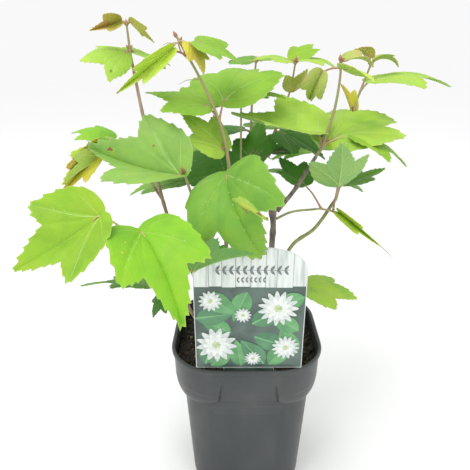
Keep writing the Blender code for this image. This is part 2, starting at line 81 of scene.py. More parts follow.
# The compost's litter, and the bark: points round a limb, the step along it and between nodes
CRUMBS = 900
FIBRES = 150
LIMB_SIDES = 20
LIMB_STEP = 0.0013
NODE_STEP = 0.036

# The cut stub beside the trunk's fork, in mm: its course and radii
STUB_COURSE = ((21.0, 0, 259.0), (20.9, 0, 261.4), (20.2, 0, 263.2))
STUB_RADII = (1.7, 1.5, 1.3)

# The blade's margin in sections, from the tip to the side lobe and round to the back: angle
# from the midrib and reach, then teeth, their lean, and the first and last tooth's size
Section = namedtuple("Section", "course teeth lean first last")
SECTIONS = (
    Section(((0, 1.00), (6, 0.885), (12, 0.78), (19, 0.675), (26, 0.60)), 5, -1, 1.3, 0.7),
    Section(((26, 0.60), (33, 0.665), (39, 0.725), (45, 0.77)), 3, 1, 0.5, 1.2),
    Section(((45, 0.77), (52, 0.69), (68, 0.54), (88, 0.40), (108, 0.28), (140, 0.15),
             (180, 0.08)), 7, -1, 1.2, 0.0),
)
TOOTH_SIZE = 0.030
TOOTH_RISING = ((0.0, 0.0), (0.3, 0.2), (0.6, 0.65), (0.85, 1.0))
TOOTH_FALLING = ((0.0, 0.0), (0.15, 1.0), (0.4, 0.65), (0.7, 0.2))
BLADE_RINGS = 15
MARGIN_BAND = 0.975
BLADE_THICK = 0.00036
SIDE_LOBE = 45.0
SINUS = 26.0
VEIN_STEP = 0.125
VEIN_SLOPE = 0.9
QUILT = 0.0075
GROOVE = 0.006
VEIN_WIDTH = 0.0105
VEIN_DEPTH = 0.0080
OPEN_WAVE = 0.045
FOLDED_WAVE = 0.015
FOLDED_FROM = 40
VEIN_PROUD = 0.00004
MARK_SIDES = 18
MARK_LIFT = 0.00006
MARK_STEP = 0.00005

# Stalks, shoots, buds and the flare at a cane's foot: SHOOT_CLEAR and SHOOT_STRAIGHT in mm,
# STALK_SINK in blade lengths, FOOT_FLARE as a share of the radius
STALK_RADIUS = 0.0009
STALK_SINK = 0.12
SHOOT_CLEAR = 0.36
SHOOT_STRAIGHT = 3.0
AXIL_BUD = 0.0032
END_BUD = 0.0050
FOOT_FLARE = 0.45
FLARE_HEIGHT = 0.006

# How a blade hangs: its midrib's bend and its halves' fold in degrees, sag and width as shares
Habit = namedtuple("Habit", "bend fold sag width")
HABITS = {
    "curled": Habit(120, 15, 0.35, 0.80),
    "young": Habit(75, 25, 0.30, 0.80),
    "fresh": Habit(45, 5, 0.30, 1.00),
    "broad": Habit(25, 5, 0.20, 1.00),
    "flat": Habit(5, 10, 0.10, 1.00),
    "folded": Habit(20, 58, 0.15, 0.65),
    "closed": Habit(30, 74, 0.05, 0.60),
    "cupped": Habit(-15, 20, 0.05, 1.00),
    "winged": Habit(-30, 66, 0.00, 1.10),
    "hung": Habit(47, -11, 0.61, 1.00),
    "draped": Habit(-30, 46, 0.52, 1.10),
    "pinched": Habit(5, 62, 0.35, 0.50),
    "hooded": Habit(57, 55, 0.89, 1.10),
}

# A leaf: its node as a share of the shoot, its heading in degrees (0 is +X, -90 the label's
# side), how far its stalk reaches out and up in mm, the blade's length in mm, the blade's
# pitch and roll in degrees, its habit and its tint
Leaf = namedtuple("Leaf", "share heading reach rise blade pitch roll habit tint")
Cane = namedtuple("Cane", "route foot end bark")
Shoot = namedtuple("Shoot", "cane route end leaves")

CANES = {
    "trunk": Cane([(14, 0, 134), (19, 0, 190), (22, 0, 240), (21, 0, 261)], 3.4, 2.2, "woody"),
    "bough_right": Cane([(25, 0, 258), (40, 3, 277), (55, 4, 303)], 1.9, 1.4, "woody"),
    "twig_right": Cane([(24.4, 1, 251), (38, 2, 257), (58, 3, 259)], 1.1, 0.9, "green"),
    "cane_left": Cane([(-30, -10, 134), (-44, -11, 200), (-64, -14, 258), (-78, -6, 325),
                       (-87, 2, 376)], 1.8, 1.1, "tan"),
    "twig_left": Cane([(-67.4, -10.4, 270), (-84, 4, 290), (-96, 8, 302)], 1.1, 0.9, "tan"),
    "cane_mid": Cane([(-8, 2, 134), (-18, 0, 235), (-16, -1, 276)], 1.9, 1.5, "tan"),
    "cane_front": Cane([(-18, -14, 134), (-28, -16, 230), (-38, -20, 262)], 1.7, 1.3, "tan"),
    "cane_low": Cane([(-22, -26, 134), (-44, -42, 185), (-56, -62, 225)], 1.7, 1.3, "tan"),
    "cane_centre": Cane([(0, 14, 134), (-3, 18, 220), (-5, 23, 275)], 1.3, 1.0, "tan"),
    "cane_back": Cane([(2, 32, 134), (3, 66, 225), (5, 82, 300)], 1.7, 1.3, "tan"),
    "cane_inner": Cane([(14, 24, 134), (8, 42, 225), (15, 52, 284)], 1.5, 1.1, "woody"),
    "cane_right": Cane([(26, 14, 134), (36, 14, 212), (60, 14, 238), (76, 20, 260)],
                       1.8, 1.5, "green"),
    "cane_low_right": Cane([(28, 26, 134), (38, 32, 155)], 1.4, 1.1, "green"),
    "cane_back_left": Cane([(-14, 34, 134), (-32, 58, 205), (-42, 70, 245)], 1.6, 1.2, "tan"),
    "cane_back_right": Cane([(16, 40, 134), (24, 48, 190), (28, 64, 233), (47, 73, 254)], 1.6, 1.2,
                            "tan"),
}

SHOOTS = {
    "leaves_left_top": Shoot("cane_left", [(-89, 4, 400)], 0.7, [
        Leaf(0.30, 213, 3, -2, 35, 10, -36, "hung", "sunny"),
        Leaf(0.30, 50, 4, -2, 36, 2, 15, "fresh", "sunny"),
        Leaf(1.00, 193, 5, 2, 23, -18, -85, "winged", "bronze"),
        Leaf(1.00, 8, 3, 2, 21, -41, -15, "flat", "olive"),
    ]),
    "leaves_side": Shoot("twig_left", [(-104, 9, 310), (-109, 8, 314)], 0.8, [
        Leaf(0.30, 215, 14, -2, 42, -10, 0, "closed", "spring"),
        Leaf(1.00, 215, 10, -3, 48, -43, -66, "folded", "olive"),
        Leaf(1.00, 166, 3, 3, 34, 28, -6, "fresh", "lime"),
    ]),
    "leaves_mid": Shoot("cane_mid", [(-15, -2, 298), (-21, -5, 329), (-34, -6, 360),
                                     (-52, -5, 392)], 0.8, [
        Leaf(0.12, -92, 39, 8, 79, -9, 29, "curled", "leaf"),
        Leaf(0.30, 173, 3, -3, 42, 51, -23, "broad", "sunny"),
        Leaf(0.46, 71, 11, 14, 69, 43, -2, "fresh", "fresh"),
        Leaf(0.46, 172, 9, 11, 49, 20, -15, "broad", "fresh"),
        Leaf(0.88, 190, 13, 3, 49, -36, -89, "pinched", "spring"),
        Leaf(0.92, -4, 11, 5, 35, -14, 17, "broad", "fresh"),
        Leaf(0.97, -30, 9, -2, 24, -38, -1, "fresh", "olive"),
    ]),
    "leaves_front": Shoot("cane_front", [(-45, -22, 284), (-47, -38, 301)], 0.9, [
        Leaf(1.00, 153, 3, -3, 80, -1, -32, "draped", "pale"),
        Leaf(0.06, 215, 14, -12, 30, -18, -20, "broad", "dark"),
    ]),
    "leaves_low": Shoot("cane_low", [(-62, -82, 250), (-72, -94, 270)], 0.9, [
        Leaf(0.98, 194, 22, 19, 60, -35, -39, "cupped", "sap"),
        Leaf(0.95, -60, 4, 9, 69, -4, 5, "young", "lime"),
        Leaf(0.55, 188, 6, -16, 46, 15, 17, "broad", "cool"),
        Leaf(0.60, -4, 24, -8, 44, 30, -40, "folded", "deep"),
        Leaf(0.05, 215, 4, -12, 20, -30, 0, "fresh", "dark"),
    ]),
    "leaves_centre": Shoot("cane_centre", [(-5, 25, 310), (-5, 26, 350)], 0.7, [
        Leaf(0.05, 72, 28, 11, 44, 57, -18, "broad", "deep"),
        Leaf(0.05, 165, 12, 2, 52, 30, -30, "broad", "dark"),
        Leaf(1.00, -5, 3, -3, 34, 22, 5, "fresh", "fresh"),
    ]),
    "leaves_back": Shoot("cane_back", [(6, 84, 338), (9, 80, 374)], 0.8, [
        Leaf(0.12, 45, 10, 4, 52, 5, 0, "broad", "leaf"),
        Leaf(0.12, 190, 10, 4, 48, 5, 0, "broad", "dark"),
        Leaf(0.50, 110, 10, 6, 54, 15, 0, "broad", "leaf"),
        Leaf(0.98, 150, 5, 1, 26, 20, -15, "fresh", "cool"),
        Leaf(0.98, 40, 6, 2, 34, 15, 0, "fresh", "fresh"),
    ]),
    "leaves_inner": Shoot("cane_inner", [(27, 58, 318), (38, 60, 348), (42, 58, 374)], 0.7, [
        Leaf(0.10, 10, 8, 4, 32, 20, 5, "broad", "dark"),
        Leaf(0.34, 328, 8, 0, 46, -12, 10, "broad", "deep"),
        Leaf(0.76, -60, 4, -2, 26, 40, 0, "cupped", "olive"),
        Leaf(0.98, 48, 3, 4, 26, 50, 5, "fresh", "sap"),
        Leaf(0.98, -5, 5, 3, 32, 10, 5, "fresh", "sunny"),
        Leaf(0.98, 195, 7, 3, 30, 20, -10, "fresh", "sunny"),
    ]),
    "leaves_main": Shoot("bough_right", [(60, 4, 312), (67, 3, 340), (69, 1, 364),
                                         (68, 0, 376)], 0.8, [
        Leaf(0.12, 169, 4, 11, 71, 4, -12, "cupped", "sunny"),
        Leaf(0.12, 24, 8, 5, 72, 33, 10, "fresh", "sunny"),
        Leaf(0.14, 45, 12, 4, 36, 25, 10, "flat", "dark"),
        Leaf(0.14, -6, 24, 7, 49, -7, 3, "fresh", "sap"),
        Leaf(0.93, 160, 14, -4, 27, -64, -89, "hooded", "tender"),
        Leaf(0.98, 0, 4, 1, 24, 25, 15, "young", "tender"),
        Leaf(0.93, -45, 4, -1, 28, 5, -20, "fresh", "spring"),
    ]),
    "leaves_right": Shoot("cane_right", [(85, 32, 295), (93, 46, 335), (98, 49, 352),
                                         (104, 49, 371)], 0.8, [
        Leaf(0.10, 5, 6, 4, 36, 20, 0, "flat", "leaf"),
        Leaf(0.68, 130, 3, -2, 27, 65, -18, "folded", "olive"),
        Leaf(0.82, -6, 9, 9, 65, 17, 3, "fresh", "sunny"),
        Leaf(1.00, -5, 4, 4, 22, 25, 0, "young", "tender"),
        Leaf(1.00, 190, 2, 7, 20, 65, 20, "curled", "bronze"),
    ]),
    "leaves_twig": Shoot("twig_right", [(70, 5, 257), (78, 6, 254)], 0.8, [
        Leaf(0.20, 135, 20, 18, 33, 35, -5, "flat", "dark"),
        Leaf(0.72, -98, 36, 33, 41, 48, 13, "cupped", "pale"),
        Leaf(1.00, -57, 3, 0, 43, -18, 57, "closed", "spring"),
    ]),
    "leaves_low_right": Shoot("cane_low_right", [(45, 36, 166), (52, 38, 174)], 0.8, [
        Leaf(1.00, -8, 8, -6, 50, 0, 5, "broad", "sunny"),
    ]),
    "leaves_back_left": Shoot("cane_back_left", [(-48, 76, 262), (-54, 80, 284)], 0.8, [
        Leaf(0.40, 172, 14, 2, 58, 0, 0, "broad", "leaf"),
        Leaf(0.40, 62, 10, 2, 50, -5, 0, "broad", "cool"),
        Leaf(0.98, 118, 8, 6, 52, 10, 0, "broad", "fresh"),
        Leaf(0.98, 222, 8, 4, 38, 5, 0, "fresh", "sap"),
    ]),
    "leaves_back_right": Shoot("cane_back_right", [(60, 79, 268), (70, 84, 288)], 0.8, [
        Leaf(0.40, 100, 12, 2, 54, 0, 0, "broad", "cool"),
        Leaf(0.40, 10, 12, 2, 54, -5, 0, "broad", "leaf"),
        Leaf(0.98, 55, 8, 6, 52, 10, 0, "broad", "fresh"),
        Leaf(0.98, 165, 8, 4, 38, 5, 0, "fresh", "lime"),
    ]),
}

# Leaf tints: upper face, lower face, margin, and how far the margin's flush spreads inwards. Some
# tints are a leaf's own green with painted light or shade on it, as noted below
Tint = namedtuple("Tint", "upper under margin flush")
TINTS = {
    # dark and deep: a deep green darkened as painted shade, for the leaves inside the bush
    "dark": Tint((0.075, 0.220, 0.034), (0.13, 0.28, 0.08), (0.09, 0.23, 0.04), 0.2),
    "deep": Tint((0.080, 0.250, 0.024), (0.14, 0.31, 0.08), (0.11, 0.27, 0.04), 0.2),
    "cool": Tint((0.155, 0.350, 0.052), (0.19, 0.37, 0.11), (0.20, 0.38, 0.06), 0.2),
    "leaf": Tint((0.175, 0.380, 0.046), (0.20, 0.40, 0.11), (0.24, 0.41, 0.06), 0.2),
    "fresh": Tint((0.225, 0.440, 0.036), (0.23, 0.43, 0.10), (0.30, 0.44, 0.05), 0.2),
    "lime": Tint((0.222, 0.500, 0.028), (0.25, 0.46, 0.09), (0.32, 0.48, 0.04), 0.2),
    "sap": Tint((0.258, 0.470, 0.034), (0.26, 0.46, 0.09), (0.36, 0.45, 0.05), 0.2),
    # sunny and spring: a yellow-green lightened as painted light, for light shining through leaves
    # turned from the lamps
    "sunny": Tint((0.350, 0.570, 0.072), (0.34, 0.53, 0.13), (0.42, 0.52, 0.08), 0.2),
    "spring": Tint((0.500, 0.700, 0.080), (0.44, 0.60, 0.13), (0.56, 0.50, 0.12), 0.3),
    "olive": Tint((0.600, 0.570, 0.060), (0.50, 0.50, 0.12), (0.56, 0.34, 0.12), 0.4),
    "bronze": Tint((0.470, 0.440, 0.080), (0.56, 0.50, 0.14), (0.52, 0.30, 0.12), 0.6),
    "tender": Tint((0.420, 0.500, 0.120), (0.48, 0.54, 0.19), (0.50, 0.40, 0.17), 0.5),
    "pale": Tint((0.250, 0.450, 0.090), (0.250, 0.440, 0.125), (0.30, 0.42, 0.12), 0.2),
}
VEIN_TONE = (0.66, 0.74, 0.36)

# Blemishes on a leaf's upper face: mass, leaf number, place and size in blade lengths, the
# turn of its long side in degrees, kind
Blemish = namedtuple("Blemish", "mass leaf along side long wide turn kind")
BLEMISHES = (
    Blemish("leaves_mid", 0, 0.47, 0.17, 0.190, 0.040, 42, "paled"),
    Blemish("leaves_mid", 0, 0.50, 0.19, 0.120, 0.016, 42, "yellowed"),
    Blemish("leaves_mid", 0, 0.475, 0.112, 0.034, 0.010, 30, "scorched"),
    Blemish("leaves_mid", 0, 0.553, 0.240, 0.024, 0.009, 42, "scorched"),
    Blemish("leaves_mid", 0, 0.610, 0.300, 0.012, 0.008, 42, "scorched"),
    Blemish("leaves_front", 0, 0.336, -0.218, 0.013, 0.010, 0, "scorched"),
    Blemish("leaves_front", 0, 0.760, -0.050, 0.050, 0.026, 0, "paled"),
    Blemish("leaves_front", 0, 0.780, -0.060, 0.026, 0.014, 20, "scorched"),
    Blemish("leaves_low", 1, 0.309, -0.392, 0.015, 0.011, 0, "yellowed"),
    Blemish("leaves_low", 1, 0.205, -0.300, 0.012, 0.010, 0, "yellowed"),
    Blemish("leaves_left_top", 0, 0.430, 0.400, 0.040, 0.030, 0, "paled"),
    Blemish("leaves_left_top", 0, 0.430, 0.400, 0.014, 0.012, 0, "scorched"),
)

# Wisps, which are dried stipules, drip tips and withered twiglets: mass, course, foot and end
# radius in mm, stem tone
Wisp = namedtuple("Wisp", "mass course foot end tone")
WISPS = (
    Wisp("leaves_mid", ((-52, -6, 388), (-55, -6, 387.5), (-59, -6, 387.5), (-62, -6, 386)),
         0.5, 0.1, "pink"),
    Wisp("leaves_mid", ((-37, -6, 363), (-40, -6, 362.5), (-46, -6, 362), (-52, -6, 359)),
         0.5, 0.1, "green"),
    Wisp("leaves_mid", ((-51, -6, 388), (-49, -8, 382), (-45, -8, 377)), 0.7, 0.2, "pink"),
    Wisp("leaves_mid", ((-52, -6, 388), (-55, -8, 384), (-56, -8, 380)), 0.6, 0.2, "pink"),
    Wisp("leaves_twig", ((105, -21.5, 237.6), (108, -22.5, 235.3), (115, -23, 229),
                         (122, -24, 223)), 0.5, 0.1, "green"),
    Wisp("leaves_main", ((68, 0, 377), (69, -1, 374), (71, -2, 372)), 0.5, 0.15, "pink"),
    Wisp("leaves_centre", ((-5, 23, 282), (1, 21, 288), (4, 20, 297), (10, 20, 303),
                           (13, 20, 306)), 1.0, 0.4, "withered"),
    Wisp("leaves_centre", ((3, 20.5, 294), (9, 19, 298), (17, 20, 301), (26, 20, 304),
                           (33, 20, 304)), 0.7, 0.3, "withered"),
    Wisp("leaves_centre", ((4, 20, 297), (2, 19, 301), (6, 19, 306)), 0.8, 0.4, "withered"),
    Wisp("leaves_centre", ((17, 20, 301), (20, 19, 298), (24, 19, 300)), 0.6, 0.2, "withered"),
    Wisp("leaves_centre", ((0, 21, 286), (6, 19, 289), (11, 18, 287)), 0.7, 0.3, "withered"),
)

# The camera, and the studio's lamps: name, place, what each faces, power
CAMERA_PLACE = (-0.010, -0.371, 0.383)
CAMERA_TILT = 68.5
LENS = 36.0
ROOM_LIGHT = 0.95
LAMP_SIZE = 0.80
LAMPS = (("top_lamp", (-0.45, -0.35, 1.50), (0.0, 0.0, 0.25), 9.0),
         ("front_lamp", (0.50, -1.20, 0.80), (0.0, 0.0, 0.22), 3.0))
FLOOR_HALF = 6.0

# The label's picture, in metres from the middle of the card at the rim: each lance leaf's
# foot, heading in radians and length, each rosette's centre and radius, and each garland's
# height, leaves to a side and leaf length
SPRAYS = (((-0.0345, 0.004), 1.30, 0.030), ((-0.030, 0.002), 0.75, 0.024),
          ((-0.006, 0.002), 1.75, 0.026), ((0.012, 0.004), 2.25, 0.030),
          ((0.016, 0.003), 0.95, 0.028), ((0.0355, 0.012), 1.95, 0.030),
          ((-0.041, 0.047), 0.15, 0.030), ((-0.034, 0.068), -0.60, 0.030),
          ((-0.002, 0.070), -1.95, 0.028), ((0.002, 0.042), 0.55, 0.030),
          ((0.038, 0.036), 2.60, 0.026), ((0.041, 0.066), 3.50, 0.026),
          ((0.004, 0.030), -0.35, 0.030), ((-0.014, 0.034), 2.70, 0.026))
BLOOMS = (((0.0215, 0.0560), 0.0155), ((-0.0255, 0.0225), 0.0160), ((0.0285, 0.0200), 0.0110),
          ((-0.0295, 0.0625), 0.0090), ((0.0030, 0.0095), 0.0065), ((-0.0050, 0.0500), 0.0065))
GARLANDS = ((0.0885, 5, 0.0050), (0.0805, 3, 0.0032))

# Inks of the print: two near tones and the size of their patches
INKS = {
    "dim": ((0.060, 0.100, 0.082), (0.110, 0.160, 0.140), 0.016),
    "gaps": ((0.16, 0.19, 0.18), (0.28, 0.32, 0.31), 0.006),
    "leaf_a": ((0.085, 0.270, 0.105), (0.125, 0.345, 0.130), 0.010),
    "leaf_b": ((0.115, 0.330, 0.130), (0.160, 0.400, 0.160), 0.010),
    "leaf_c": ((0.060, 0.180, 0.095), (0.090, 0.240, 0.120), 0.010),
    "leaf_d": ((0.080, 0.225, 0.110), (0.110, 0.280, 0.140), 0.010),
    "rib": ((0.160, 0.380, 0.170), (0.200, 0.430, 0.200), 0.010),
    "petal": ((0.52, 0.57, 0.55), (0.68, 0.72, 0.70), 0.003),
    "petal_inner": ((0.66, 0.70, 0.67), (0.80, 0.83, 0.80), 0.003),
    "eye": ((0.45, 0.56, 0.30), (0.58, 0.64, 0.42), 0.002),
    "garland": ((0.14, 0.16, 0.16), (0.22, 0.24, 0.24), 0.002),
}


def mm(values):
    """Millimetres to metres, as an array."""
    return np.asarray(values, float) * 0.001


def unit(vectors):
    """Each vector divided by its own length."""
    return vectors / np.maximum(np.linalg.norm(vectors, axis=-1, keepdims=True), 1e-12)


def smooth_route(knots, steps=3):
    """A curve through the knots: each stretch is a cubic whose slope at a knot is half the way
    from the knot before it to the knot after it."""
    knots = np.asarray(knots, float)
    padded = np.vstack([2 * knots[0] - knots[1], knots, 2 * knots[-1] - knots[-2]])
    t = np.linspace(0, 1, steps, endpoint=False)[:, None]
    spans = []
    for before, start, end, after in zip(padded, padded[1:], padded[2:], padded[3:]):
        spans.append(0.5 * (2 * start + (end - before) * t
                            + (2 * before - 5 * start + 4 * end - after) * t ** 2
                            + (3 * start - before - 3 * end + after) * t ** 3))
    return np.vstack(spans + [knots[-1:]])


def shares_along(route):
    """Each point's distance along the route, from 0 at its start to 1 at its end."""
    walked = np.concatenate([[0], np.cumsum(np.linalg.norm(np.diff(route, axis=0), axis=1))])
    return walked / walked[-1]


def spread(route, shares):
    """The points of the route that lie at the given shares of its length."""
    along = shares_along(route)
    columns = [np.interp(shares, along, route[:, axis]) for axis in range(route.shape[1])]
    return np.stack(columns, -1)


def grid_quads(rows, columns, closed):
    """Faces between the rows of a grid, joined from the last column to the first if closed."""
    row = np.arange(rows - 1)[:, None] * columns
    column = np.arange(columns if closed else columns - 1)[None]
    after = (column + 1) % columns
    corners = [row + column, row + after, row + after + columns, row + column + columns]
    return np.stack(corners, -1).reshape(-1, 4)


def stack_faces(rings, count):
    """Faces of a closed stack of rings, whose last two points are the middles of its ends."""
    side = np.arange(count)
    after = (side + 1) % count
    top = (rings - 1) * count
    start = np.stack([after, side, np.full(count, rings * count)], -1)
    end = np.stack([top + side, top + after, np.full(count, rings * count + 1)], -1)
    return [grid_quads(rings, count, True), start, end]


def disc_faces(rings, count):
    """Faces of a thin closed disc: upper rings, upper hub, lower rings, lower hub and rim.

    Its points are the upper rings from the middle outwards and their hub, then the same below.
    """
    size = rings * count + 1
    quads = grid_quads(rings, count, True)
    side = np.arange(count)
    after = (side + 1) % count
    fan = np.stack([np.full(count, size - 1), side, after], -1)
    edge = size - 1 - count
    rim = np.stack([edge + side, edge + side + size, edge + after + size, edge + after], -1)
    return [quads[:, ::-1], fan, quads + size, fan[:, ::-1] + size, rim]


def turned(x, y, angle):
    """Flat places turned about the origin by an angle in radians."""
    return x * np.cos(angle) - y * np.sin(angle), x * np.sin(angle) + y * np.cos(angle)


class Pieces:
    """Points and faces gathered for one mesh, with a slot number for each face."""

    def __init__(self):
        self.points, self.faces, self.slots, self.count = [], [], [], 0

    def add(self, points, faces, slots=0):
        """Add points and a list of face arrays, with one slot for all or a list of slots."""
        self.points.append(np.asarray(points, float).reshape(-1, 3))
        for face, slot in zip(faces, slots if isinstance(slots, list) else [slots] * len(faces)):
            self.faces.append(np.asarray(face) + self.count)
            self.slots.append(np.broadcast_to(slot, len(face)))
        self.count += len(self.points[-1])


def placed(name, data):
    """A new object of this data, linked to the scene."""
    made = bpy.data.objects.new(name, data)
    bpy.context.scene.collection.objects.link(made)
    return made


def make_piece(name, gathered, materials, node, smooth=True, creases=60.0):
    """A mesh at the origin, riding on the root body, in place of a CAD node."""
    faces = [face for block in gathered.faces for face in block.tolist()]
    mesh = bpy.data.meshes.new(name)
    mesh.from_pydata(np.vstack(gathered.points).tolist(), [], faces)
    for material in materials:
        mesh.materials.append(material)
    mesh.polygons.foreach_set("material_index", np.concatenate(gathered.slots).astype(np.int32))
    mesh.update()
    if smooth:
        mesh.shade_smooth()
        mesh.set_sharp_from_angle(angle=math.radians(creases))
    made = placed(name, mesh)
    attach(made, "root")
    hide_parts(node)


def frames_along(route):
    """Two directions across a route at each of its points, square to the route."""
    way = unit(np.gradient(route, axis=0))
    chord = np.abs(unit(route[-1] - route[0]))
    guide = np.eye(3)[int(np.argmin(chord))] + 0.01
    across = unit(np.cross(way, guide))
    return across, np.cross(way, across)


def tube(route, radii, sides, level_foot=False):
    """A round limb: at each station of the route a ring of points at the station's radius,
    which may differ round the ring, closed at both ends by a fan."""
    across, upward = frames_along(route)
    if level_foot:
        across[0] = unit(across[1] * (1, 1, 0))
        upward[0] = np.cross((0, 0, 1), across[0])
    turn = 2 * np.pi * np.arange(sides) / sides
    radii = np.asarray(radii, float)
    radii = radii[:, None] if radii.ndim == 1 else radii
    ring = (np.cos(turn)[None, :, None] * across[:, None]
            + np.sin(turn)[None, :, None] * upward[:, None])
    points = (route[:, None] + radii[..., None] * ring).reshape(-1, 3)
    return np.vstack([points, route[0], route[-1]]), stack_faces(len(route), sides)


def plain(name, colour, roughness):
    """A Principled material of one colour, and its shader and node tree."""
    material = bpy.data.materials.new(name)
    material.use_nodes = True
    shader = material.node_tree.nodes["Principled BSDF"]
    shader.inputs["Base Color"].default_value = (*colour, 1.0)
    shader.inputs["Roughness"].default_value = roughness
    return material, shader, material.node_tree


def noise(tree, size, detail, stretch=(1, 1, 1)):
    """Noise on Object coordinates whose grains are `size` metres across."""
    place = tree.nodes.new("ShaderNodeTexCoord")
    mapping = tree.nodes.new("ShaderNodeMapping")
    mapping.inputs["Scale"].default_value = stretch
    grain = tree.nodes.new("ShaderNodeTexNoise")
    grain.inputs["Scale"].default_value = 1.0 / size
    grain.inputs["Detail"].default_value = detail
    tree.links.new(place.outputs["Object"], mapping.inputs["Vector"])
    tree.links.new(mapping.outputs["Vector"], grain.inputs["Vector"])
    return grain.outputs["Fac"]


def colour_by(tree, shader, factor, stops):
    """Colour the surface by a ramp over the factor with (position, colour) stops."""
    ramp = tree.nodes.new("ShaderNodeValToRGB")
    ramp.color_ramp.elements[0].position = stops[0][0]
    ramp.color_ramp.elements[0].color = (*stops[0][1], 1)
    ramp.color_ramp.elements[1].position = stops[-1][0]
    ramp.color_ramp.elements[1].color = (*stops[-1][1], 1)
    for position, colour in stops[1:-1]:
        ramp.color_ramp.elements.new(position).color = (*colour, 1)
    tree.links.new(factor, ramp.inputs["Fac"])
    tree.links.new(ramp.outputs["Color"], shader.inputs["Base Color"])


def two_tone(name, low, high, roughness, grain, edges, stretch=(1, 1, 1)):
    """A material mottled from one tone to another: grain is the noise's size and detail, and
    edges are where on the noise the blend starts and ends."""
    material, shader, tree = plain(name, low, roughness)
    colour_by(tree, shader, noise(tree, *grain, stretch), list(zip(edges, (low, high))))
    return material, shader, tree


def add_bump(tree, shader, height, distance, strength):
    """Tilt the surface by a height whose full range is `distance` metres."""
    bump = tree.nodes.new("ShaderNodeBump")
    bump.inputs["Distance"].default_value = distance
    bump.inputs["Strength"].default_value = strength
    tree.links.new(height, bump.inputs["Height"])
    tree.links.new(bump.outputs["Normal"], shader.inputs["Normal"])


def leaf_finish(name, tint, roughness, relief_depth):
    """Living leaf: soft mottling between near tints and a net of fine veins."""
    material, shader, tree = plain(name, tint, roughness)
    shader.inputs["Specular IOR Level"].default_value = 0.20
    deeper = tuple(value * share for value, share in zip(tint, (0.86, 0.92, 0.92)))
    warmer = tuple(value * share for value, share in zip(tint, (1.12, 1.05, 0.92)))
    colour_by(tree, shader, noise(tree, 0.018, 4.0), [(0.34, deeper), (0.50, tint), (0.68, warmer)])
    add_bump(tree, shader, veinlets(tree, 0.0024), relief_depth, 0.6)
    return material


def veinlets(tree, size):
    """Height of a net of fine veins: the distance to the nearest edge of uneven cells."""
    place = tree.nodes.new("ShaderNodeTexCoord")
    cells = tree.nodes.new("ShaderNodeTexVoronoi")
    cells.feature = "DISTANCE_TO_EDGE"
    cells.inputs["Scale"].default_value = 1.0 / size
    swell = tree.nodes.new("ShaderNodeMapRange")
    swell.inputs["From Max"].default_value = 0.35
    tree.links.new(place.outputs["Object"], cells.inputs["Vector"])
    tree.links.new(cells.outputs["Distance"], swell.inputs["Value"])
    return swell.outputs["Result"]


def bark_finish(name, low, high, size, along):
    """Bark: streaks between two tones, drawn out upwards by the share along, and rough."""
    stretch = (1, 1, along)
    material, shader, tree = two_tone(name, low, high, 0.72, (size, 5.0), (0.35, 0.68), stretch)
    add_bump(tree, shader, noise(tree, size * 0.4, 4.0, stretch), 0.0004, 0.8)
    return material


BARKS = {
    "woody": bark_finish("woody_bark", (0.10, 0.08, 0.060), (0.28, 0.235, 0.19), 0.0035, 0.35),
    "tan": bark_finish("tan_bark", (0.24, 0.15, 0.105), (0.45, 0.33, 0.24), 0.0040, 0.20),
    "cut": bark_finish("cut_wood", (0.012, 0.009, 0.008), (0.05, 0.04, 0.03), 0.0012, 1),
    "green": bark_finish("green_bark", (0.20, 0.21, 0.08), (0.36, 0.40, 0.17), 0.0050, 0.20),
}


def stem_finish(name, low, high):
    """Soft green stem or stalk: a smooth skin flushed from one tone to the other."""
    return two_tone(name, low, high, 0.45, (0.009, 2.0), (0.35, 0.65))[0]


STEMS = {
    "green": stem_finish("stem_green", (0.30, 0.33, 0.12), (0.42, 0.29, 0.17)),
    "pink": stem_finish("stalk_pink", (0.42, 0.20, 0.13), (0.44, 0.36, 0.17)),
    "lime": stem_finish("stalk_lime", (0.46, 0.52, 0.12), (0.52, 0.40, 0.16)),
    "bud": stem_finish("bud_red", (0.36, 0.15, 0.09), (0.42, 0.30, 0.15)),
    "withered": stem_finish("stem_withered", (0.07, 0.05, 0.025), (0.20, 0.17, 0.07)),
}
STEM_SLOTS = {key: number for number, key in enumerate(STEMS)}
MARKS = {
    "paled": stem_finish("paled_patch", (0.24, 0.44, 0.05), (0.34, 0.50, 0.06)),
    "yellowed": stem_finish("yellowed_patch", (0.40, 0.50, 0.06), (0.50, 0.50, 0.07)),
    "scorched": stem_finish("scorched_patch", (0.13, 0.06, 0.03), (0.32, 0.15, 0.05)),
}


def mixed(first, second, share):
    """A colour part of the way from the first to the second."""
    return tuple(a + (b - a) * share for a, b in zip(first, second))


# The skins of a tint, in order: three shades above, the lower face and the margin
MIDDLE_SHADE, UNDER, MARGIN, SKINS_PER_TINT = 1, 3, 4, 5


def leaf_skins(key, tint):
    """The skins of one tint, in the order of their slots."""
    shades = (tuple(0.93 * value for value in tint.upper), tint.upper,
              mixed(tint.upper, tint.margin, tint.flush))
    skins = [leaf_finish("leaf_%s_%d" % (key, step), shade, 0.52, 0.00012)
             for step, shade in enumerate(shades)]
    skins.append(leaf_finish("underleaf_" + key, tint.under, 0.62, 0.00008))
    skins.append(stem_finish("margin_" + key, tint.margin, tint.upper))
    return skins


SKINS = {key: leaf_skins(key, tint) for key, tint in TINTS.items()}
VEINS = {key: stem_finish("vein_" + key, mixed(tint.upper, VEIN_TONE, 0.42),
                          mixed(tint.upper, VEIN_TONE, 0.30)) for key, tint in TINTS.items()}


def polar(course):
    """Flat points from rows of an angle in degrees and a reach."""
    angle, reach = np.radians([row[0] for row in course]), np.array([row[1] for row in course])
    return np.stack([reach * np.cos(angle), reach * np.sin(angle)], -1)


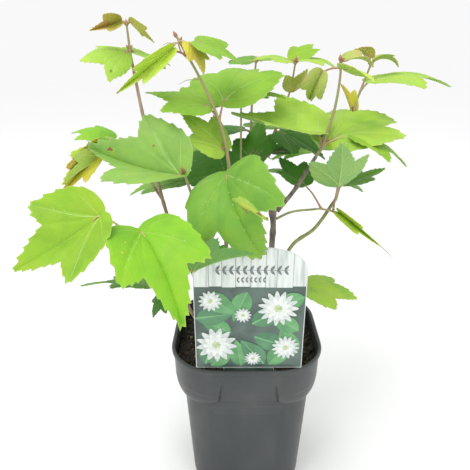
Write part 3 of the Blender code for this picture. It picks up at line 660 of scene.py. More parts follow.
def half_edge(dice):
    """Half of a blade's margin from its tip to its back, bare and with teeth.

    Each tooth is four points along its stretch: the point's height stands square to the bare
    margin, rising slowly and falling fast towards the lobe's tip.
    """
    bare, toothed = [], []
    for section in SECTIONS:
        course = smooth_route(polar(section.course), 6)
        form = np.array(TOOTH_RISING if section.lean > 0 else TOOTH_FALLING)
        jitter = dice.uniform(-0.12, 0.12, section.teeth)
        jitter[0] = 0
        starts = (np.arange(section.teeth) + jitter) / section.teeth
        lengths = np.diff(np.append(starts, 1.0))
        size = np.linspace(section.first, section.last, section.teeth)
        size = size * dice.uniform(0.65, 1.35, section.teeth)
        shares = (starts[:, None] + lengths[:, None] * form[None, :, 0]).ravel()
        height = (size[:, None] * form[None, :, 1]).ravel() * TOOTH_SIZE
        points = spread(course, shares)
        way = unit(spread(course, np.minimum(shares + 0.02, 1)) - spread(course, shares - 0.02))
        square = np.stack([-way[:, 1], way[:, 0]], -1)
        outward = square * np.sign((square * (points - (0.3, 0.0))).sum(-1, keepdims=True))
        bare.append(points)
        toothed.append(points + height[:, None] * outward)
    return np.vstack(bare), np.vstack(toothed)


def blade_margin(dice):
    """The whole margin: one half, the back, and the other half mirrored, bare and toothed."""
    back = polar([(180, 0.08)])
    left, right = half_edge(dice), half_edge(dice)
    return [np.vstack([left[kind], back, (right[kind] * (1, -1))[:0:-1]]) for kind in (0, 1)]


def relief(flat):
    """Height of the blade between and along its veins, in blade lengths.

    In each lobe, side veins leave its main vein at a fixed slope and step. The blade bows up
    between them as the root of a sine wave, and dips along the main vein as a narrow bell.
    """
    x, y = flat[..., 0], np.abs(flat[..., 1])
    angle = np.degrees(np.arctan2(y, x))
    along, off = turned(x, y, np.radians(np.where(angle > SINUS, -SIDE_LOBE, 0.0)))
    off = np.abs(off)
    wave = np.sqrt(np.abs(np.sin(np.pi * (along - VEIN_SLOPE * off) / VEIN_STEP)))
    near = np.clip(np.abs(angle - SINUS) / 6.0, 0, 1) * np.clip(off / 0.05, 0, 1)
    return QUILT * wave * near - GROOVE * np.exp(-(off / 0.014) ** 2)


def leaf_axes(leaf):
    """The blade's midrib direction, its left side and its upper face."""
    heading, pitch, roll = np.radians([leaf.heading, leaf.pitch, leaf.roll])
    ahead = np.array([math.cos(pitch) * math.cos(heading), math.cos(pitch) * math.sin(heading),
                      math.sin(pitch)])
    level = np.array([-math.sin(heading), math.cos(heading), 0])
    square = np.cross(ahead, level)
    left = level * math.cos(roll) + square * math.sin(roll)
    return ahead, left, np.cross(ahead, left)


def leaf_hilt(leaf, route):
    """Where the blade starts: the end of its stalk."""
    heading = math.radians(leaf.heading)
    out = (leaf.reach * math.cos(heading), leaf.reach * math.sin(heading), leaf.rise)
    return spread(route, leaf.share) + mm(out)


def set_blade(flat, leaf, hilt, wave):
    """Set flat blade points in place.

    The midrib bends into an arc, the halves fold up about it and sag with the square of the
    distance from it, and the margin waves as sines of the angle, growing with the square of
    the reach.
    """
    habit = HABITS[leaf.habit]
    along, side = flat[..., 0], flat[..., 1] * habit.width
    curve = math.radians(habit.bend)
    fold = math.radians(habit.fold)
    angle = curve * np.maximum(along, 0)
    arc = np.where(along > 0, np.sin(angle) / curve, along)
    drop = -(1 - np.cos(angle)) / curve
    round_hilt = np.arctan2(flat[..., 1], along)
    reach = along ** 2 + side ** 2
    rise = np.abs(side) * math.sin(fold) - habit.sag * side ** 2 + relief(flat)
    rise = rise + reach * (wave[0] * np.sin(3 * round_hilt + wave[1])
                           + 0.6 * wave[0] * np.sin(7 * round_hilt + wave[2]))
    ahead, left, up = leaf_axes(leaf)
    place = ((arc + rise * np.sin(angle))[..., None] * ahead
             + (side * math.cos(fold))[..., None] * left
             + (drop + rise * np.cos(angle))[..., None] * up)
    return hilt + leaf.blade * 0.001 * place


def blade_normals(flat, leaf, hilt, wave):
    """The blade's upward normals: the cross product of its slopes along and across."""
    step = 0.006
    ahead = (set_blade(flat + (step, 0), leaf, hilt, wave)
             - set_blade(flat - (step, 0), leaf, hilt, wave))
    aside = (set_blade(flat + (0, step), leaf, hilt, wave)
             - set_blade(flat - (0, step), leaf, hilt, wave))
    return unit(np.cross(ahead, aside))


def shade_steps(flat, dice):
    """Which shade of its tint each flat point takes: -1, 0 or 1.

    Slow waves across the blade and a rise towards the margin, rounded to whole steps.
    """
    turn = dice.uniform(0, 2 * math.pi, 3)
    x, y = flat[..., 0], flat[..., 1]
    field = (0.75 * np.sin(5.0 * x + 2.5 * y + turn[0]) + 0.55 * np.sin(9.0 * y - 3.0 * x + turn[1])
             + 0.35 * np.sin(21.0 * x + 14.0 * y + turn[2]) + 0.9 * (x ** 2 + y ** 2) - 0.3)
    return np.clip(np.round(field), -1, 1).astype(int)


def add_blade(blades, leaf, hilt, wave, dice, tints):
    """One blade: rings that widen from the hilt to the toothed margin, above and below."""
    bare, toothed = blade_margin(dice)
    inner = MARGIN_BAND * (np.arange(1, BLADE_RINGS) / (BLADE_RINGS - 1)) ** 0.85
    share = np.append(inner, 1.0)[:, None, None]
    flat = share * bare + share ** 7 * (toothed - bare)
    rings, count = flat.shape[:2]
    flat = np.vstack([flat.reshape(-1, 2), [[0.0, 0.0]]])
    middle = set_blade(flat, leaf, hilt, wave)
    half = np.full(len(flat), 0.5 * BLADE_THICK)
    half[-1 - count:-1] *= 0.45
    raised = blade_normals(flat, leaf, hilt, wave) * half[:, None]
    faces = disc_faces(rings, count)
    own = tints.index(leaf.tint) * SKINS_PER_TINT
    shades = own + MIDDLE_SHADE + shade_steps(flat, dice)[faces[0][:, -1]]
    shades[-count:] = own + MARGIN
    blades.add(np.vstack([middle + raised, middle - raised]), faces,
               [shades, own + MIDDLE_SHADE, own + UNDER, own + UNDER, own + MARGIN])


def vein_courses():
    """Flat courses of a blade's veins with each vein's width at its start: the lobes' main
    veins, then the side veins of each, from its main vein towards the margin."""
    courses = [(((0.0, 0.0), (0.5, 0.0), (0.95, 0.0)), 1.0)]
    limit = polar([row for section in SECTIONS for row in section.course])
    angles = np.degrees(np.arctan2(limit[:, 1], limit[:, 0]))
    reaches = np.linalg.norm(limit, axis=1)
    off = np.linspace(0, 0.3, 16)
    for mirror in (1, -1):
        for course, width in (([(38, 0.25), (SIDE_LOBE, 0.72)], 0.8),
                              ([(84, 0.20), (80, 0.36)], 0.5)):
            bend, end = polar(course) * (1, mirror)
            courses.append((((0.0, 0.0), bend, end), width))
        for lobe, last, hands in ((0.0, 7, (1,)), (SIDE_LOBE, 6, (1, -1))):
            for step, hand in [(step, hand) for step in range(2, last) for hand in hands]:
                x, y = turned(step * VEIN_STEP + VEIN_SLOPE * off, hand * off, math.radians(lobe))
                angle = np.degrees(np.arctan2(np.abs(y), x))
                own_side = (angle > SINUS + 1) if lobe else (angle < SINUS - 1)
                inside = (np.hypot(x, y) < 0.93 * np.interp(angle, angles, reaches)) & own_side
                kept = int(np.argmin(inside[1:])) + 1
                if kept >= 4:
                    ends = [0, kept // 2, kept - 1]
                    courses.append((tuple((x[i], mirror * y[i]) for i in ends), 0.32))
    return courses


VEIN_COURSES = vein_courses()


def add_veins(veins, leaf, hilt, wave, slot):
    """A blade's veins: a six-sided bar along each course, proud below and level above, that
    narrows to a quarter of its width."""
    length = leaf.blade * 0.001
    for course, width in VEIN_COURSES:
        flat = smooth_route(course, 4)
        size = length * width * np.linspace(1.0, 0.25, len(flat))[:, None]
        middle = set_blade(flat, leaf, hilt, wave)
        up = blade_normals(flat, leaf, hilt, wave)
        aside = unit(np.cross(up, np.gradient(middle, axis=0)))
        wide = VEIN_WIDTH * size * np.array([[0.45, -0.45, -1, -0.4, 0.4, 1]])
        high = np.array([[1.0, 1.0, 0, 0, 0, 0]]) * (0.5 * BLADE_THICK + VEIN_PROUD)
        low = np.array([[0, 0, 0.4, 1.0, 1.0, 0.4]]) * (0.5 * BLADE_THICK + VEIN_DEPTH * size)
        points = (middle[:, None] + wide[..., None] * aside[:, None]
                  + (high - low)[..., None] * up[:, None])
        foot, end = np.arange(6)[None, ::-1], np.arange(6)[None] + (len(flat) - 1) * 6
        veins.add(points, [grid_quads(len(flat), 6, True), foot, end], slot)


def stalk_route(leaf, route):
    """A stalk's course: it bows up from the shoot and runs on a little way under the midrib."""
    node = spread(route, leaf.share)
    hilt = leaf_hilt(leaf, route)
    inside = set_blade(np.array([STALK_SINK, 0.0]), leaf, hilt, (0, 0, 0))
    middle = 0.5 * (node + hilt) + np.array([0, 0, 0.08 * np.linalg.norm(hilt - node)])
    return smooth_route([node, middle, hilt, inside], 5)


def add_stalk(stems, leaf, route, slot):
    """A leaf's stalk, wide where it clasps the shoot and thin under the blade."""
    course = stalk_route(leaf, route)
    radii = STALK_RADIUS * np.interp(shares_along(course), [0, 0.12, 0.5, 0.85, 1],
                                     [1.5, 0.95, 0.80, 0.70, 0.25])
    stems.add(*tube(course, radii, 8), slot)


def add_bud(stems, place, way, length):
    """A pointed bud: a tube whose radius swells as a sine wave and closes to a point."""
    share = np.linspace(0, 1, 9)
    course = place + share[:, None] * unit(np.asarray(way, float)) * length
    radii = 0.30 * length * np.sin(np.pi * (0.25 + 0.75 * share)) ** 0.8 * (1 - share ** 3)
    stems.add(*tube(course, np.maximum(radii, 0.00003), 8), STEM_SLOTS["bud"])


def shoot_route(shoot):
    """A shoot's course in metres, from just past its cane's end."""
    end = smooth_route(CANES[shoot.cane].route)[-2:]
    way = unit(end[1] - end[0])
    start = end[1] + SHOOT_CLEAR * way
    straight = start + SHOOT_STRAIGHT * way
    return mm(np.vstack([start, smooth_route([straight] + shoot.route, 8)]))


def add_shoot(stems, shoot, route):
    """The shoot itself: a stem that swells at its nodes, with a bud in each leaf's axil."""
    share = np.linspace(0, 1, 48)
    course = spread(route, share)
    swell = np.zeros(len(share))
    for node in sorted({leaf.share for leaf in shoot.leaves}):
        swell = swell + 0.28 * np.exp(-((share - node) / 0.018) ** 2)
    cane_end = CANES[shoot.cane].end
    radii = mm(np.interp(share, [0, 1], [cane_end, shoot.end])) * (1 + np.minimum(swell, 0.4))
    stems.add(*tube(course, radii, 12), STEM_SLOTS["green"])
    for leaf in shoot.leaves:
        node = spread(route, leaf.share)
        x, y = math.cos(math.radians(leaf.heading)), math.sin(math.radians(leaf.heading))
        add_bud(stems, node + mm([x, y, 0.8]), (0.7 * x, 0.7 * y, 1.0), AXIL_BUD)
    add_bud(stems, route[-1] - (0, 0, 0.0004), route[-1] - route[-3], END_BUD)


def add_blemish(marks, spot, leaf, hilt, wave, dice):
    """A mark on a blade: rings of an uneven ellipse that lie just over its upper face."""
    turn = 2 * np.pi * np.arange(MARK_SIDES) / MARK_SIDES
    edge = 1 + 0.25 * np.sin(3 * turn + dice.uniform(0, 6))
    edge = edge + 0.12 * dice.standard_normal(MARK_SIDES)
    x, y = turned(spot.long * np.cos(turn) * edge, spot.wide * np.sin(turn) * edge,
                  math.radians(spot.turn))
    ring = np.stack([x, y], -1)
    flat = np.vstack([share * ring for share in (0.25, 0.5, 0.75, 1.0)] + [[[0.0, 0.0]]])
    flat = flat + (spot.along, spot.side)
    middle = set_blade(flat, leaf, hilt, wave)
    kind = list(MARKS).index(spot.kind)
    lift = 0.5 * BLADE_THICK + MARK_LIFT + MARK_STEP * kind
    over = middle + blade_normals(flat, leaf, hilt, wave) * lift
    marks.add(np.vstack([over, middle]), disc_faces(4, MARK_SIDES), kind)


def add_wisp(stems, wisp):
    """A thin thread along its course that narrows to its end."""
    course = mm(smooth_route(wisp.course, 6))
    radii = mm(np.linspace(wisp.foot, wisp.end, len(course)))
    stems.add(*tube(course, radii, 6), STEM_SLOTS[wisp.tone])


def add_mass(name, shoot, number):
    """One mass of foliage: its blades, its veins, and its shoot with the stalks."""
    dice = np.random.default_rng(SEED + number)
    route = shoot_route(shoot)
    tints = sorted({leaf.tint for leaf in shoot.leaves})
    blades, veins, stems, marks = Pieces(), Pieces(), Pieces(), Pieces()
    add_shoot(stems, shoot, route)
    for index, leaf in enumerate(shoot.leaves):
        hilt = leaf_hilt(leaf, route)
        size = OPEN_WAVE if HABITS[leaf.habit].fold < FOLDED_FROM else FOLDED_WAVE
        wave = (size, dice.uniform(0, 6.28), dice.uniform(0, 6.28))
        add_blade(blades, leaf, hilt, wave, dice, tints)
        add_veins(veins, leaf, hilt, wave, tints.index(leaf.tint))
        tone = "lime" if leaf.tint in ("lime", "sap") else "pink"
        add_stalk(stems, leaf, route, STEM_SLOTS[tone])
        for spot in BLEMISHES:
            if spot.mass == name and spot.leaf == index:
                add_blemish(marks, spot, leaf, hilt, wave, dice)
    for wisp in WISPS:
        if wisp.mass == name:
            add_wisp(stems, wisp)
    skins = [skin for key in tints for skin in SKINS[key]]
    for kind, gathered, finishes in (("_blades", blades, skins),
                                     ("_veins", veins, [VEINS[key] for key in tints]),
                                     ("_stems", stems, STEMS.values()),
                                     ("_marks", marks, MARKS.values())):
        if gathered.count:
            make_piece(name + kind, gathered, finishes, name)


def soil_height(x, y):
    """The compost's height: a low mound that falls away to the pot's wall."""
    reach = 0.5 * (COLLAR_WIDTH - 0.008)
    bow = np.clip(1 - (x ** 2 + y ** 2) / reach ** 2, 0, 1)
    return SOIL_LEVEL + SOIL_MOUND * (bow - 1)


def add_limb(name, cane, number):
    """A cane, bough or trunk with its bark's relief.

    The radius falls evenly from foot to end. Over it lie ridges that wind slowly round the
    limb, swellings with a ring at each node, and fine lumps.
    """
    dice = np.random.default_rng(SEED + 100 + number)
    coarse = mm(smooth_route(cane.route, 8))
    length = np.linalg.norm(np.diff(coarse, axis=0), axis=1).sum()
    stations = max(24, int(length / LIMB_STEP))
    share = np.linspace(0, 1, stations)
    route = spread(coarse, share)
    rooted = cane.route[0][2] * 0.001 <= SOIL_LEVEL
    radii = mm(np.interp(share, [0, 1], [cane.foot, cane.end]))
    if rooted:
        route[0, 2] = soil_height(route[0, 0], route[0, 1]) + GAP
        radii = radii * (1 + FOOT_FLARE * np.exp(-(route[:, 2] - route[0, 2]) / FLARE_HEIGHT))
    turn = 2 * np.pi * np.arange(LIMB_SIDES) / LIMB_SIDES
    walked = share * length
    depth = 0.055 if cane.bark == "woody" else 0.018
    ripple = np.zeros((stations, LIMB_SIDES))
    for ridges, winding in ((2, 60), (3, 110), (5, 190), (7, 330)):
        phase = dice.uniform(0, 6.28, 2)
        ripple += np.sin(ridges * turn[None] + winding * walked[:, None] + phase[0]
                         + 1.3 * np.sin(140 * walked[:, None] + phase[1])) / ridges ** 0.5
    swell = np.zeros(stations)
    for node in np.arange(0.030, length - 0.010, NODE_STEP) + dice.uniform(-0.004, 0.004):
        swell += 0.16 * np.exp(-((walked - node) / 0.0022) ** 2)
    gathered = Pieces()
    barks = [BARKS[cane.bark]]
    if name == "trunk":
        swell += 0.45 * np.exp(-((walked - length + 0.004) / 0.0045) ** 2)
        ripple *= 1 + 1.5 * np.exp(-((walked[:, None] - length) / 0.012) ** 2)
        gathered.add(*tube(mm(STUB_COURSE), mm(STUB_RADII), 12), 1)
        barks.append(BARKS["cut"])
    radii = radii[:, None] * (1 + swell[:, None] + depth * ripple)
    gathered.add(*tube(route, radii, LIMB_SIDES, level_foot=rooted), 0)
    make_piece(name + "_bark", gathered, barks, name)


def square_ring(width, corner, height, corner_steps=30, side_steps=56):
    """Points round a square with rounded corners: a quarter circle and a straight side in
    each quarter turn, with the quarter circle's points closer together near its ends."""
    half = 0.5 * width
    inner = half - corner
    share = np.linspace(0, 1, corner_steps + 1)
    turn = 0.5 * np.pi * (0.5 * share + 0.25 - 0.25 * np.cos(np.pi * share))
    run = np.linspace(inner, -inner, side_steps + 1)[1:-1]
    x = np.append(inner + corner * np.cos(turn), run)
    y = np.append(inner + corner * np.sin(turn), np.full(len(run), half))
    flat = np.hstack([turned(x, y, 0.5 * math.pi * step) for step in range(4)])
    return np.column_stack([*flat, np.full(flat.shape[1], height)])


def body_size(height):
    """The pot body's outer width and corner radius at a height below the collar."""
    share = height / (POT_HEIGHT - COLLAR_HEIGHT)
    width = BODY_FOOT_WIDTH + (BODY_TOP_WIDTH - BODY_FOOT_WIDTH) * share
    corner = FOOT_CORNER + (BODY_TOP_CORNER - FOOT_CORNER) * share
    return width, corner


def pot_profile():
    """Rows of height, width and corner radius up the outer side and down the inner side."""
    neck = POT_HEIGHT - COLLAR_HEIGHT
    lip = POT_HEIGHT - LIP_HEIGHT
    foot, top = body_size(0), body_size(neck)
    turn = np.linspace(0, 0.5 * np.pi, 8)
    rows = []
    for angle in turn:
        z = FOOT_ROUND * (1 - math.sin(angle))
        width, corner = body_size(z)
        rows.append((z, width - 2 * FOOT_INSET * (1 - math.cos(angle)), corner))
    rows = rows[::-1]
    rows += [(z, *body_size(z)) for z in np.linspace(FOOT_ROUND + 0.0015, neck - 0.0008, 34)]
    step = 0.5 * (COLLAR_WIDTH - 0.0006 - top[0])
    for angle in np.linspace(0.12, 0.5 * np.pi, 12):
        z = neck + COLLAR_HIP * (1 - math.cos(angle))
        reach = math.sin(angle)
        corner = top[1] + (RIM_CORNER - 0.003 - top[1]) * reach
        rows.append((z, top[0] + 2 * step * reach, corner))
    hip = neck + COLLAR_HIP
    rows += [(z, COLLAR_WIDTH + 0.0008 * (z - hip) / 0.018, RIM_CORNER - 0.003)
             for z in np.linspace(hip + 0.001, lip - 0.0006, 36)]
    rows += [(lip - 0.0002, COLLAR_WIDTH + 0.0024, RIM_CORNER - 0.002),
             (lip + 0.0001, RIM_WIDTH - 0.0008, RIM_CORNER - 0.001),
             (lip + 0.0008, RIM_WIDTH - 0.0001, RIM_CORNER), (lip + 0.0018, RIM_WIDTH, RIM_CORNER),
             (lip + 0.0030, RIM_WIDTH - 0.0004, RIM_CORNER),
             (lip + 0.0037, RIM_WIDTH - 0.0014, RIM_CORNER - 0.001),
             (POT_HEIGHT, RIM_WIDTH - 0.0028, RIM_CORNER - 0.002)]
    outer = len(rows)
    inner, deep = COLLAR_WIDTH - 2 * MOULDED_WALL, RIM_CORNER - 0.0045
    rows += [(POT_HEIGHT - 0.0001, inner + 0.0030, RIM_CORNER - 0.003),
             (POT_HEIGHT - 0.0010, inner + 0.0010, RIM_CORNER - 0.004),
             (POT_HEIGHT - 0.0030, inner, deep)]
    rows += [(z, inner - 0.0002, deep) for z in np.linspace(lip - 0.001, hip + 0.001, 24)]
    low = body_size(FOOT_ROUND)[0] - 2 * PANEL_DEPTH
    rows += [(neck - 0.002, top[0] - 2 * MOULDED_WALL, top[1] - 0.001),
             (FOOT_ROUND, low - 2 * MOULDED_WALL, foot[1] - 0.001),
             (FLOOR, foot[0] - 2 * MOULDED_WALL - 0.016, foot[1] - 0.002)]
    return rows, outer


def press_pocket(points, behind=0.0):
    """Press the label pocket into the collar's front, or into a wall a little behind it.

    Inside the pocket the wall keeps to a plane that slants in from under the rim to the
    body's face. The pocket widens downwards, and each cheek is a smooth step.
    """
    x, y, z = points[:, 0], points[:, 1], points[:, 2]
    share = np.clip((POCKET_TOP - z) / (POCKET_TOP - POCKET_FOOT), 0, 1)
    half = POCKET_TOP_HALF + (POCKET_FOOT_HALF - POCKET_TOP_HALF) * share
    level = np.clip((z - POCKET_FOOT + 0.0012) / 0.0004, 0, 1) * (z < POCKET_TOP)
    depth = 0.5 * (COLLAR_WIDTH - BODY_TOP_WIDTH) - 0.0012
    face = -0.5 * COLLAR_WIDTH + share ** POCKET_SLANT * depth + behind
    across = np.clip((half - np.abs(x - POCKET_CENTRE)) / POCKET_CHEEK + 0.5, 0, 1)
    across = across ** 2 * (3 - 2 * across)
    push = level * across * np.maximum(face - y, 0) * (y < -0.04)
    return np.column_stack([x, y + push, z])


def add_pot():
    """The square nursery pot: rings that follow the profile, with shallow side panels."""
    rows, outer = pot_profile()
    rings = np.stack([square_ring(w, r, z) for z, w, r in rows])
    neck = POT_HEIGHT - COLLAR_HEIGHT
    x, y, z = np.moveaxis(rings[:outer], -1, 0)
    level = np.clip(np.minimum(z - PANEL_FOOT, neck - PANEL_HEAD - z) / 0.0025, 0, 1)
    half = 0.5 * np.array([row[1] for row in rows[:outer]])[:, None]
    flat = np.minimum(np.abs(x), np.abs(y))
    inset = PANEL_DEPTH * level * np.clip((PANEL_SHARE * half - flat) / 0.003, 0, 1)
    rings[:outer, :, :2] *= (1 - inset / half)[..., None]
    pressed = press_pocket(rings[:outer].reshape(-1, 3))
    lining = press_pocket(rings[outer:].reshape(-1, 3), MOULDED_WALL)
    centres = np.array([[0, 0, rows[0][0]], [0, 0, rows[-1][0]]])
    gathered = Pieces()
    gathered.add(np.vstack([pressed, lining, centres]), stack_faces(*rings.shape[:2]))
    make_piece("nursery_pot", gathered, [pot_finish()], "pot", creases=50.0)


def pot_finish():
    """Recycled black plastic: semi-gloss, with faint flow streaks and scuffs."""
    material, shader, tree = plain("nursery_plastic", (0.044, 0.049, 0.049), 0.36)
    colour_by(tree, shader, noise(tree, 0.026, 6.0, (1.0, 1.0, 0.40)),
              [(0.36, (0.034, 0.040, 0.040)), (0.60, (0.046, 0.052, 0.052)),
               (0.78, (0.066, 0.071, 0.070))])
    rough = tree.nodes.new("ShaderNodeMapRange")
    rough.inputs["To Min"].default_value = 0.26
    rough.inputs["To Max"].default_value = 0.50
    tree.links.new(noise(tree, 0.010, 5.0), rough.inputs["Value"])
    tree.links.new(rough.outputs["Result"], shader.inputs["Roughness"])
    add_bump(tree, shader, noise(tree, 0.004, 5.0), 0.00010, 0.30)
    return material


def compost_finish(name, low, high):
    """Moist compost: near black, with lighter crumbs in it."""
    material, shader, tree = two_tone(name, low, high, 0.90, (0.0035, 6.0), (0.42, 0.70))
    add_bump(tree, shader, noise(tree, 0.0016, 5.0), 0.0012, 1.0)
    return material


def lumpy(x, y):
    """Height of crumbly ground: sums of sine waves in random directions, finer and lower."""
    dice = np.random.default_rng(SEED)
    height = np.zeros_like(x)
    for size, depth in ((0.016, 0.0010), (0.008, 0.0009), (0.004, 0.0007), (0.0022, 0.0004)):
        for _ in range(5):
            way, phase = dice.uniform(0, 2 * math.pi, 2)
            along = x * math.cos(way) + y * math.sin(way)
            height += depth * 0.5 * np.sin(along * 6.28 / size + phase)
    return height


def add_compost():
    """The compost: a lumpy top over plain sides, with crumbs, bark chips and fibres on it."""
    neck = POT_HEIGHT - COLLAR_HEIGHT
    inset = 2 * (MOULDED_WALL + GAP)
    levels = [(FLOOR + GAP, BODY_FOOT_WIDTH - inset - 0.017, FOOT_CORNER - 0.003),
              (FOOT_ROUND, body_size(FOOT_ROUND)[0] - inset - 2 * PANEL_DEPTH, FOOT_CORNER - 0.002),
              (neck - 0.002, BODY_TOP_WIDTH - inset - 2 * PANEL_DEPTH, BODY_TOP_CORNER - 0.002)]
    levels += [(z, COLLAR_WIDTH - inset - 0.0004, RIM_CORNER - 0.005)
               for z in np.linspace(neck + COLLAR_HIP + 0.002, SOIL_LEVEL - 0.003, 12)]
    rings = [square_ring(w, r, z, 14, 30) for z, w, r in levels]
    for share in np.linspace(1.0, 0.02, 60):
        x, y = share * rings[len(levels) - 1][:, 0], share * rings[len(levels) - 1][:, 1]
        rings.append(np.column_stack([x, y, soil_height(x, y) + lumpy(x, y)]))
    soil = press_pocket(np.vstack(rings), MOULDED_WALL + GAP)
    centres = np.array([[0, 0, levels[0][0]], [0, 0, SOIL_LEVEL]])
    ground = Pieces()
    ground.add(np.vstack([soil, centres]), stack_faces(len(rings), len(rings[0])))
    dark = compost_finish("compost_dark", (0.009, 0.007, 0.006), (0.055, 0.042, 0.030))
    make_piece("compost_ground", ground, [dark], "soil", creases=180.0)
    dice = np.random.default_rng(SEED + 200)
    crumbs = Pieces()
    add_crumbs(crumbs, dice)
    add_fibres(crumbs, dice)
    shades = [dark, compost_finish("compost_brown", (0.026, 0.019, 0.013), (0.085, 0.060, 0.038)),
              compost_finish("bark_chip", (0.10, 0.075, 0.045), (0.30, 0.23, 0.14))]
    make_piece("compost_crumbs", crumbs, shades, "soil", creases=180.0)


def scatter(dice, count):
    """Places on the compost inside the pot's rounded square."""
    half = 0.5 * COLLAR_WIDTH - MOULDED_WALL - 0.0035
    spots = dice.uniform(-half, half, (count * 2, 2))
    corner = np.maximum(np.abs(spots) - (half - 0.030), 0)
    x, y = spots[np.hypot(corner[:, 0], corner[:, 1]) < 0.030][:count].T
    return np.column_stack([x, y, soil_height(x, y) + lumpy(x, y)])


def add_crumbs(crumbs, dice):
    """Crumbs: a ball of 4 rings by 6, squashed, turned and made uneven for each crumb."""
    places = scatter(dice, CRUMBS)
    count = len(places)
    rise = np.radians([-60, -20, 20, 60])
    turn = 2 * np.pi * np.arange(6) / 6
    ball = np.stack([np.cos(rise)[:, None] * np.cos(turn), np.cos(rise)[:, None] * np.sin(turn),
                     np.sin(rise)[:, None] * np.ones(6)], -1).reshape(-1, 3)
    ball = np.vstack([ball, [0, 0, -1], [0, 0, 1]])
    size = 0.0006 + 0.0016 * dice.random((count, 1, 1)) ** 2.2
    form = ball[None] * size * dice.uniform(0.6, 1.4, (count, 1, 3))
    form = form * dice.uniform(0.8, 1.2, (count, len(ball), 1))
    x, y = turned(form[..., 0], form[..., 1], dice.uniform(0, 6.28, (count, 1)))
    points = np.stack([x, y, form[..., 2] * 0.8], -1) + places[:, None]
    shade = dice.choice(3, count, p=(0.55, 0.33, 0.12))
    quads, foot, top = stack_faces(4, 6)
    fans = np.vstack([foot, top])
    offset = (np.arange(count) * len(ball))[:, None, None]
    crumbs.add(points, [(quads + offset).reshape(-1, 4), (fans + offset).reshape(-1, 3)],
               [np.repeat(shade, len(quads)), np.repeat(shade, len(fans))])


def add_fibres(crumbs, dice):
    """Root fibres and slivers of bark: thin bent tubes that lie on the ground."""
    for place in scatter(dice, FIBRES):
        heading, bend = dice.uniform(0, 6.28), dice.uniform(-0.8, 0.8)
        length = dice.uniform(0.003, 0.010)
        share = np.linspace(-0.5, 0.5, 6)
        angle = heading + bend * share
        course = place + np.stack([share * length * np.cos(angle), share * length * np.sin(angle),
                                   0.0006 + 0.0008 * (0.25 - share ** 2)], -1)
        thick = dice.uniform(0.00012, 0.00045)
        radii = thick * np.sqrt(np.clip(1.05 - (2 * share) ** 4, 0.05, 1))
        crumbs.add(*tube(course, radii, 5), int(dice.integers(1, 3)))


def card_place(x, height, lift):
    """A point of the card's front: x across from its middle and height above the rim, on the
    plane that leans forward by LABEL_LEAN above the rim and stands upright below it."""
    lean = math.tan(math.radians(LABEL_LEAN)) * np.maximum(height, 0)
    y = LABEL_CENTRE[1] - lean - 0.5 * LABEL_THICK - lift
    return np.stack([LABEL_CENTRE[0] + x, y, POT_HEIGHT + GAP + height], -1)


def card_top(x):
    """The height of the card's arched top at x across: a flattened ellipse."""
    share = np.clip(np.abs(x) / (0.5 * LABEL_WIDTH), 0, 1)
    return LABEL_SIDE + LABEL_ARCH * (1 - share ** 2.6) ** (1 / 2.6)


def print_finish(name, colour, other, size):
    """Printed ink under a clear film: two near tones in soft patches, semi-gloss."""
    return two_tone(name, colour, other, 0.34, (size, 3.0), (0.38, 0.64))[0]


def board_finish():
    """Weathered white boards: grey streaks along the grain, and dark knots here and there."""
    material, shader, tree = plain("print_boards", (0.76, 0.81, 0.80), 0.36)
    colour_by(tree, shader, noise(tree, 0.0030, 6.0, (1.0, 1.0, 0.07)),
              [(0.30, (0.48, 0.53, 0.51)), (0.44, (0.64, 0.69, 0.66)), (0.62, (0.75, 0.79, 0.76))])
    return material


def add_sheet(gathered, x, height, thick, lift, slot):
    """A thin closed sheet on the card: a grid of x across and height up, front and back."""
    rows, columns = x.shape
    front = card_place(x, height, lift + thick).reshape(-1, 3)
    back = card_place(x, height, lift).reshape(-1, 3)
    size = rows * columns
    quads = grid_quads(rows, columns, False)
    low, high = np.arange(columns), np.arange(columns) + (rows - 1) * columns
    left, right = np.arange(rows) * columns, np.arange(rows) * columns + columns - 1
    loop = np.concatenate([low, right[1:], high[::-1][1:], left[::-1][1:-1]])
    after = np.roll(loop, -1)
    rim = np.stack([loop, loop + size, after + size, after], -1)
    gathered.add(np.vstack([front, back]), [quads, quads[:, ::-1] + size, rim], slot)


def print_patch(gathered, x, height, layer, ink):
    """A patch of one ink: a sheet as thin as print, so many layers above the card."""
    x, height = np.broadcast_arrays(x, height)
    add_sheet(gathered, x, height, PRINT_THICK, PRINT_LIFT + layer * PRINT_THICK,
              ["boards", *INKS].index(ink))


def print_blade(gathered, foot, heading, length, wide, layer, inks):
    """A printed lance leaf in two halves with a midrib between them.

    Each half spans from the midrib to a margin that swells as a sine of the root of the way
    along; the midrib is a sliver that narrows to the tip.
    """
    along = np.linspace(0, 1, 13)[:, None]
    swell = np.sin(np.pi * along ** 0.75) * 0.5 * wide
    rib = 0.045 * wide * (1.15 - along) * np.array([[1.0, -1.0]])
    for ahead, across, above, ink in (
            (length * along, np.linspace(1, 0, 4)[None] * swell, 0, inks[0]),
            (length * along, np.linspace(0, -1, 4)[None] * swell, 0, inks[1]),
            (length * along * 0.96, rib, 1.5, inks[2])):
        x, height = turned(ahead, across, heading)
        print_patch(gathered, foot[0] + x, foot[1] + height, layer + above, ink)


